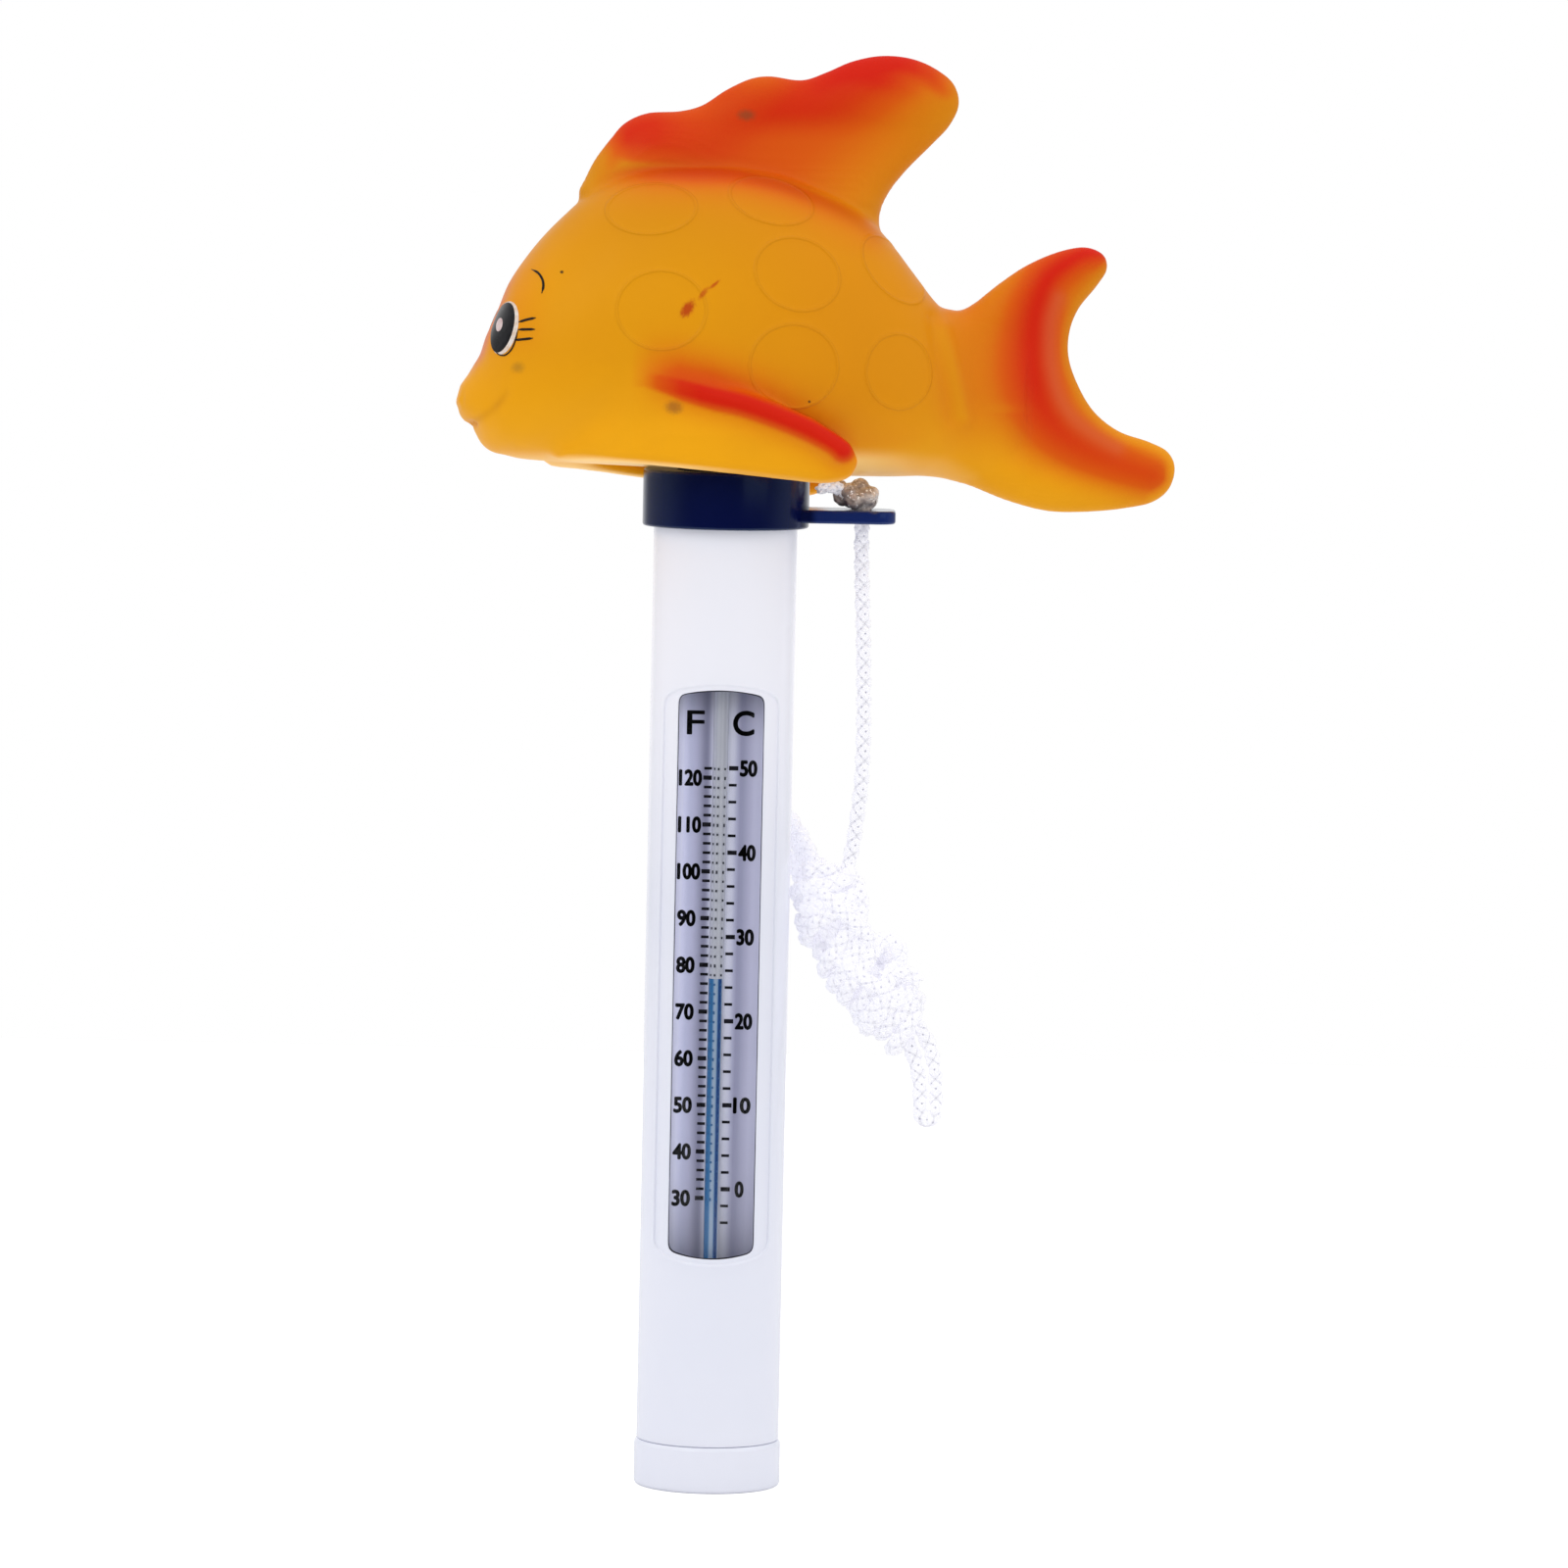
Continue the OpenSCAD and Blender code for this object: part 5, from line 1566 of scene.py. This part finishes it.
# lash and lid lines: width, lift, points (x, z)
LASHES = [(0.36, 0.09, [(-33.2, 21.1), (-31.9, 21.5), (-30.6, 21.8)]),
          (0.36, 0.09, [(-33.3, 19.95), (-31.9, 20.02), (-30.7, 20.05)]),
          (0.36, 0.09, [(-33.8, 18.35), (-32.5, 18.5), (-31.0, 18.7)]),
          (0.34, 0.09, [(-31.3, 29.15), (-30.3, 28.6), (-29.65, 27.6), (-29.5, 26.6),
                        (-29.75, 25.5)]),
          (0.18, 0.13, [(-36.9, 17.0), (-36.2, 16.15), (-35.3, 16.0), (-34.4, 16.7),
                        (-33.75, 18.0), (-33.3, 19.8)])]


def head_tree():
    tris = np.concatenate([fish_quads[:, [0, 1, 2]], fish_quads[:, [0, 2, 3]]])
    centre = fish_points[tris].mean(1)
    head = tris[(centre[:, 0] < -24) & (centre[:, 2] > 10) & (centre[:, 2] < 36)]
    return BVHTree.FromPolygons([Vector(point) for point in fish_points],
                                [tuple(int(corner) for corner in tri) for tri in head])


HEAD = head_tree()
SIGHT = Vector(FISH_TURN.T @ unit(to_part([[-36, -12, 20.8]])[0] - CAMERA_AT))


def lay(x, z, lift, side):
    """Point on the head seen at (x, z), raised by lift."""
    hit, normal, _, _ = HEAD.ray_cast(Vector((x, -14.0, z)) - SIGHT * 40, SIGHT, 100)
    if hit is None:
        hit, normal, _, _ = HEAD.find_nearest(Vector((x, -10, z)))
    if hit[1] > NOSE_Y:
        # keep the inner corner round where the head turns to the front
        y = NOSE_Y + 0.5 * (hit[1] - NOSE_Y)
        front, front_normal, _, _ = HEAD.ray_cast(Vector((-60, y, hit[2])),
                                                  Vector((1, 0, 0)), 100)
        if front is not None:
            hit, normal = front, front_normal
    point = np.array(hit + normal.normalized() * lift)
    if side > 0:
        point[1] = -point[1]
    return point


def disc(centre_x, centre_z, half_a, half_b, tilt, lift, side, count=40, rings=7):
    """Thin elliptical layer; its underside is sunk into the head."""
    cos, sin = math.cos(math.radians(tilt)), math.sin(math.radians(tilt))
    points = []
    for front, height in ((True, lift), (False, -0.25)):
        points.append(lay(centre_x, centre_z, height, side))
        for k in range(1, rings + 1):
            local = height - 0.05 if front and k == rings else height
            for i in range(count):
                angle = 2 * np.pi * i / count
                along = half_a * (k / rings) * math.cos(angle)
                across = half_b * (k / rings) * math.sin(angle)
                points.append(lay(centre_x + along * cos - across * sin,
                                  centre_z + along * sin + across * cos, local, side))
    back = 1 + count * rings
    i = np.arange(count)
    j = (i + 1) % count
    tris = np.concatenate([np.stack([np.zeros(count, int), 1 + i, 1 + j], 1),
                           np.stack([np.full(count, back), back + 1 + j, back + 1 + i], 1)])
    quads = []
    for k in range(rings - 1):
        low, high = 1 + k * count, 1 + (k + 1) * count
        quads.append(np.stack([low + i, high + i, high + j, low + j], 1))
        quads.append(np.stack([low + j, high + j, high + i, low + i], 1) + back)
    rim = 1 + (rings - 1) * count
    quads.append(np.stack([rim + i, back + rim + i, back + rim + j, rim + j], 1))
    quads = np.concatenate(quads)
    if side > 0:
        quads, tris = quads[:, ::-1], tris[:, ::-1]
    return to_part(points), [quads, tris]


def strip(width, lift, line, side):
    """Painted stroke with thinner ends."""
    path = spline(line, 0.25)
    count = len(path)
    tangent = unit(np.gradient(path, axis=0))
    across = np.stack([-tangent[:, 1], tangent[:, 0]], 1)
    share = np.linspace(0, 1, count)
    local = width * np.clip(np.minimum(share, 1 - share) * 6, 0.25, 1)
    rows = []
    for place, height in ((-1, lift - 0.03), (-0.5, lift), (0.5, lift), (1, lift - 0.03),
                          (1, -0.2), (-1, -0.2)):
        shifted = path + across * (place * local)[:, None] * 0.5
        rows.append([lay(x, z, height, side) for x, z in shifted])
    cap = np.array([[0, 1, 2, 3], [0, 3, 4, 5]])
    quads = np.concatenate([ring_quads(count, 6)[:, [0, 3, 2, 1]], cap,
                            (cap + (count - 1) * 6)[:, ::-1]])
    if side > 0:
        quads = quads[:, ::-1]
    return to_part(np.stack(rows, 1).reshape(-1, 3)), [quads]


for side, tag in ((-1, "near"), (1, "far")):
    white = disc(EYE_AT_X, EYE_AT_Z, 1.92, 4.15, -13, 0.10, side)
    pupil = disc(EYE_AT_X - 0.27, EYE_AT_Z + 0.06, 1.60, 3.92, -14, 0.16, side)
    glint = disc(EYE_AT_X - 0.72, EYE_AT_Z + 0.45, 0.46, 1.05, -12, 0.21, side, 24, 3)
    lashes = merge([strip(*lash, side) for lash in LASHES])
    for name, mesh, material in (("eye_white_", white, EYE_WHITE),
                                 ("eye_pupil_", pupil, EYE_BLACK),
                                 ("eye_glint_", glint, EYE_GLINT), ("lashes_", lashes, LASH)):
        build(name + tag, mesh, material, sharp=60, body="head")


# ------------------------------------------------------------------ stopper knot
# melted balls: x, y, z, radius
KNOT_BALLS = [(17.9, 0.2, 153.0, 1.55), (18.8, -1.1, 153.7, 1.45), (19.8, -1.4, 152.6, 1.5),
              (21.4, -1.0, 153.0, 1.45), (20.4, 0.2, 154.2, 1.6), (19.2, 1.3, 152.6, 1.5),
              (21.9, 0.4, 152.6, 1.4), (17.4, 0.6, 154.3, 1.2), (22.4, -0.3, 153.6, 1.0),
              (20.9, 0, 151.6, 1.4), (20.9, 0, 150.4, 1.15), (20.9, 0, 149.6, 1.1)]
KNOT_CELL, KNOT_BLEND, KNOT_RIPPLE = 0.16, 0.45, 0.09


def melted_knot():
    """Smooth union of the balls with a slight ripple."""
    balls = np.array(KNOT_BALLS, float)
    low = (balls[:, :3] - balls[:, 3:]).min(0) - 1.2
    high = (balls[:, :3] + balls[:, 3:]).max(0) + 1.2
    x, y, z = np.meshgrid(*[np.arange(low[i], high[i] + KNOT_CELL, KNOT_CELL) for i in range(3)],
                          indexing="ij")
    field = None
    for ball_x, ball_y, ball_z, radius in balls:
        gap = np.sqrt((x - ball_x) ** 2 + (y - ball_y) ** 2 + (z - ball_z) ** 2) - radius
        field = gap if field is None else soft_min(field, gap, KNOT_BLEND)
    field = field + (KNOT_RIPPLE * np.sin(x * 3.1 + 1.7 * np.sin(z * 2.3))
                     * np.sin(y * 3.7 + 1.1) * np.sin(z * 3.3 + x * 0.9))
    points, quads = surface_nets(field)
    return relax(points, quads, field / KNOT_CELL, 2) * KNOT_CELL + low, [quads]


build("melted_knot", melted_knot(), KNOT, body="head", replaces="stopper_knot")
stub = braid([(18.2, -0.6, 153.4), (16.9, -1.6, 154.3), (15.2, -2.6, 154.5), (14.0, -3.2, 153.9)],
             lay=5.4, radius=0.66, strand_w=0.36, strand_t=0.24, taper=(1, 0.7))
build("cord_end_stub", stub, CORD, body="head")


# ------------------------------------------------------------------ cord
# cord paths: x, y, z
DROP = [(EYE_X, 0, 150.4), (EYE_X, 0, 145.6), (21.1, 0, 139.5), (21.5, 0, 130), (21.7, 0, 122.5),
        (21.8, 0.4, 115), (21.6, 1.4, 108.5), (21.0, 2.7, 102.5), (20.4, 3.6, 98.2),
        (19.6, 4.4, 94.5)]
# middle line of the hank: x, y, z, radius
CORE = np.array([(14.6, 5.4, 96.0, 3.2), (15.3, 5.2, 94.0, 4.3), (16.1, 5.1, 91.6, 5.1),
                 (17.2, 5, 88.2, 5.6), (18.7, 5, 84.6, 5.5), (21.3, 5, 80.6, 5.6),
                 (24.5, 5.1, 76.8, 5.8), (27.3, 5.2, 73.2, 5.4), (29.8, 5.2, 69.8, 4.0)])
# windings: place along the core, slant in degrees, its direction, size, turns, seed
BUNDLES = [(5.0, 16, 0.3, 0.98, 2, 3), (9.2, -20, 2.0, 1.04, 2, 5), (13.4, 22, 4.0, 1.0, 2, 8),
           (17.6, -14, 1.0, 1.06, 2, 9), (21.8, 24, 3.0, 1.0, 2, 12),
           (26.0, 8, 5.0, 1.04, 2, 15), (29.6, -18, 0.5, 1.0, 1, 21)]
# lengths inside the winding: x and y shift from the core, and z shift
FILLING = [(-1.3, -1.8, 0), (1.6, -1.6, 0.5), (0.2, -2.4, 0), (-1.6, 1.4, 0), (1.5, 1.5, 0)]
SLANT, FULL = dict(lay=5.8, radius=0.88), dict(radius=0.9, strand_w=0.48)
# single lengths of the hank: cord settings and path
LENGTHS = [
    # two that cross the winding on a slant
    (SLANT, [(14.2, 1.6, 93.6), (16.6, 0.2, 91.2), (19.8, -0.5, 88.6), (22.6, 0.4, 85.8),
             (24.2, 2.4, 84.0)]),
    (SLANT, [(18.0, 1.4, 82.6), (20.4, 0.2, 80.4), (23.6, -0.4, 78.2), (27.0, 0.4, 76.4),
             (29.6, 2.2, 75.6)]),
    # loop that passes behind the tube, and a length beside it
    (FULL, [(17.0, 4.4, 91.6), (15.6, 5.6, 94.4), (13.7, 7.8, 97.8), (11.8, 10.4, 101.0),
            (9.2, 13.0, 103.8), (4.5, 14.8, 106.2), (0, 15.4, 106.6), (-1.2, 15.6, 104.2),
            (2, 15.4, 101.4), (7.0, 14.4, 99.2), (10.6, 11.6, 96.4), (12.6, 9.0, 93.4),
            (14.4, 7.2, 90.6)]),
    (FULL, [(16.2, 5.0, 91.2), (14.2, 7.2, 94.6), (12.4, 9.8, 97.8), (10.2, 12.4, 100.6),
            (6.4, 14.4, 102.8), (2.0, 15.2, 104.0)]),
    # turns of the knot at the top of the winding
    (dict(FULL, lay=5.6),
     [(20.2, 3.8, 95.2), (19.2, 1.8, 93.8), (16.6, 0.8, 93.2), (13.4, 2.0, 92.6),
      (12.0, 5.2, 91.4), (13.6, 8.4, 90.4), (17.0, 9.2, 90.4), (20.4, 7.8, 91.4),
      (21.4, 4.6, 91.8), (19.8, 1.6, 91.0), (16.4, 0.6, 90.0), (13.0, 2.0, 89.0)]),
    (dict(lay=5.6, radius=0.86),
     [(13.6, 3.0, 94.8), (16.2, 2.6, 95.2), (18.6, 3.4, 94.8), (19.8, 5.6, 93.8),
      (18.2, 7.4, 93.0), (15.6, 7.6, 92.8)]),
    (SLANT, [(20.4, 4.4, 94.4), (21.6, 3.2, 92.4), (22.0, 2.8, 90.0), (21.6, 3.0, 87.6),
             (20.6, 3.4, 85.4)]),
    # bend that stands off the side, and the cut end below it
    (dict(lay=5.8, radius=0.92, strand_w=0.5),
     [(22.2, 3.0, 82.0), (24.4, 2.2, 84.2), (26.6, 2.0, 84.6), (28.0, 2.4, 83.2),
      (28.0, 3.2, 80.8), (27.0, 3.6, 78.8)]),
    (dict(lay=5.6, taper=(1, 1.12)),
     [(25.6, 2.0, 79.0), (27.8, 1.0, 79.6), (29.6, 0.9, 79.6), (31.0, 1.2, 78.4)])]
TAIL_LOOP = [(28.4, 5.6, 70.8), (30.0, 5.3, 68.0), (31.2, 5.2, 64.6), (31.75, 5.2, 61.2),
             (31.8, 5.0, 58.0), (32.2, 4.9, 56.8), (32.95, 5.0, 56.4), (33.75, 5.3, 56.9),
             (34.2, 5.5, 58.4), (34.2, 5.6, 61.8), (33.8, 5.6, 65.2), (32.9, 5.4, 68.4),
             (31.0, 4.8, 71.6)]


def bundle(at, slant_angle, direction, size, turns, seed):
    """Path of a few turns drawn tight round the core, lying at a slant."""
    random = np.random.default_rng(seed)
    core = spline(CORE, 0.25)
    path, radius = core[:, :3], core[:, 3]
    tangent, normal, side = frames(path)
    run = arc_length(path)
    per_turn, pitch = 26, 2.05
    points = []
    for k in range(turns * per_turn + 1):
        turn = k / per_turn
        shift = (turn / turns - 0.5) * (turns * pitch)
        i = min(np.searchsorted(run, np.clip(at + shift, 0, run[-1])), len(run) - 1)
        angle = 2 * np.pi * turn + direction
        bulge = 1.0 - 0.22 * (2 * abs(turn / turns - 0.5)) ** 2
        reach = ((radius[i] * size - 1.05) * bulge + 0.12 * math.sin(3 * angle + seed)
                 + 0.06 * random.normal())
        slant = math.tan(math.radians(slant_angle)) * reach * math.cos(angle - direction - 1.1)
        points.append(path[i] + reach * (math.cos(angle) * normal[i] + math.sin(angle) * side[i])
                      + slant * tangent[i])
    return np.array(points)[::2]


def hank():
    parts = [braid(bundle(*row), step=0.30, lay=5.8, radius=0.88, strand_w=0.47, strand_t=0.30)
             for row in BUNDLES]
    spread = np.interp(np.arange(len(CORE)), [0, 2, 6, 8], [0.5, 1, 1, 0.55])[:, None]
    parts += [braid(CORE[:, :3] + np.array(shift) * spread, step=0.4, **FULL)
              for shift in FILLING]
    parts += [braid(path, step=0.3, **settings) for settings, path in LENGTHS]
    return merge(parts)


drop = build("cord_drop", braid(DROP), CORD, sharp=70, replaces="tether_drop")
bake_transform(drop)
build("cord_hank", hank(), WOUND, sharp=70, body="hank", replaces="tether_hank")
tail = build("cord_tail", braid(TAIL_LOOP, step=0.25, radius=0.86, strand_w=0.46), CORD,
             sharp=70, replaces="tether_tail")
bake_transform(tail)


# ------------------------------------------------------------------ stage, light and camera
def floor_white():
    """White floor that looks brighter to the camera than it lights the scene."""
    net = new_material("floor_white")
    seen = net.node("LightPath").outputs["Is Camera Ray"]
    return net.finish(net.principled(color=(0.82, 0.82, 0.83), rough=0.8,
                                     glow_color=(1, 1, 1), glow=net.times(seen, 0.7)))


def studio():
    """White surround with separate strengths for diffuse, glossy and camera rays."""
    world = bpy.data.worlds.new("studio")
    bpy.context.scene.world = world
    net = Net(world, "OutputWorld")
    x, y, z = net.split(net.place("Generated"))
    rays = net.node("LightPath").outputs
    # diffuse: dimmer towards the camera's side and the two sides, brighter at the top
    front = net.remap(net.times(y, -1.0), (0.35, 0.97))
    top = net.remap(z, (0.1, 0.9))
    ambient = net.times_plus(front, -0.45, 0.98)
    ambient = net.times_plus(top, 0.25, ambient)
    sides = net.remap(net.calc("ABSOLUTE", x), (0.45, 0.95))
    ambient = net.times_plus(sides, -0.15, ambient)
    # reflections: bright behind, dim in front
    mirrored = net.times_plus(net.remap(y, (0.72, 0.97)), 0.60, 0.36)
    mirrored = net.times_plus(net.remap(net.times(y, -1.0), (-0.1, 0.75)), -0.32, mirrored)
    ambient = net.node("Mix", {0: rays["Is Glossy Ray"], 2: ambient, 3: mirrored},
                       data_type="FLOAT").outputs[0]
    strength = net.node("Mix", {0: rays["Is Camera Ray"], 2: ambient, 3: 1.0},
                        data_type="FLOAT").outputs[0]
    net.finish(net.node("Background", {"Color": (1.0, 1.0, 1.0), "Strength": strength}))


def area_light(name, place, size, power):
    """Square light aimed at the middle of the tube."""
    light = bpy.data.lights.new(name, "AREA")
    light.shape = "RECTANGLE"
    light.size = light.size_y = size
    light.energy = power
    item = bpy.data.objects.new(name, light)
    item.location = place
    item.rotation_mode = "QUATERNION"
    aim = Vector((0, 0, 0.12)) - Vector(place)
    item.rotation_quaternion = aim.to_track_quat("-Z", "Y")
    bpy.context.scene.collection.objects.link(item)


def camera(pitch, roll):
    """Camera looking along +Y, tipped down by pitch and turned about its view by roll."""
    data = bpy.data.cameras.new("camera")
    item = add_object("camera", data)
    forward = Vector((0, math.cos(pitch), -math.sin(pitch)))
    level_right = Vector((1, 0, 0))
    level_up = Vector((0, math.sin(pitch), math.cos(pitch)))
    right = level_right * math.cos(roll) + level_up * math.sin(roll)
    up = -level_right * math.sin(roll) + level_up * math.cos(roll)
    columns = Matrix((right, up, -forward)).transposed().to_4x4()
    item.matrix_world = Matrix.Translation(Vector(CAMERA_AT * MM)) @ columns
    data.sensor_width = 36.0
    data.lens = 203.85
    data.clip_start, data.clip_end = 0.05, 50.0
    bpy.context.scene.camera = item


floor_mesh = bpy.data.meshes.new("floor")
floor_mesh.from_pydata([(-0.5, -0.35, 0), (0.5, -0.35, 0), (0.5, 0.6, 0), (-0.5, 0.6, 0)], [],
                       [(0, 1, 2, 3)])
floor = add_object("floor", floor_mesh)
floor_mesh.materials.append(floor_white())
studio()
area_light("key_soft", place=(-0.55, -1.0, 0.95), size=0.7, power=2.25)
area_light("fill_soft", place=(0.8, -0.9, 0.5), size=0.8, power=0.8)
camera(pitch=math.radians(4.6), roll=math.radians(1.19))
bpy.context.scene.view_settings.view_transform = "Standard"
bpy.context.scene.view_settings.look = "None"
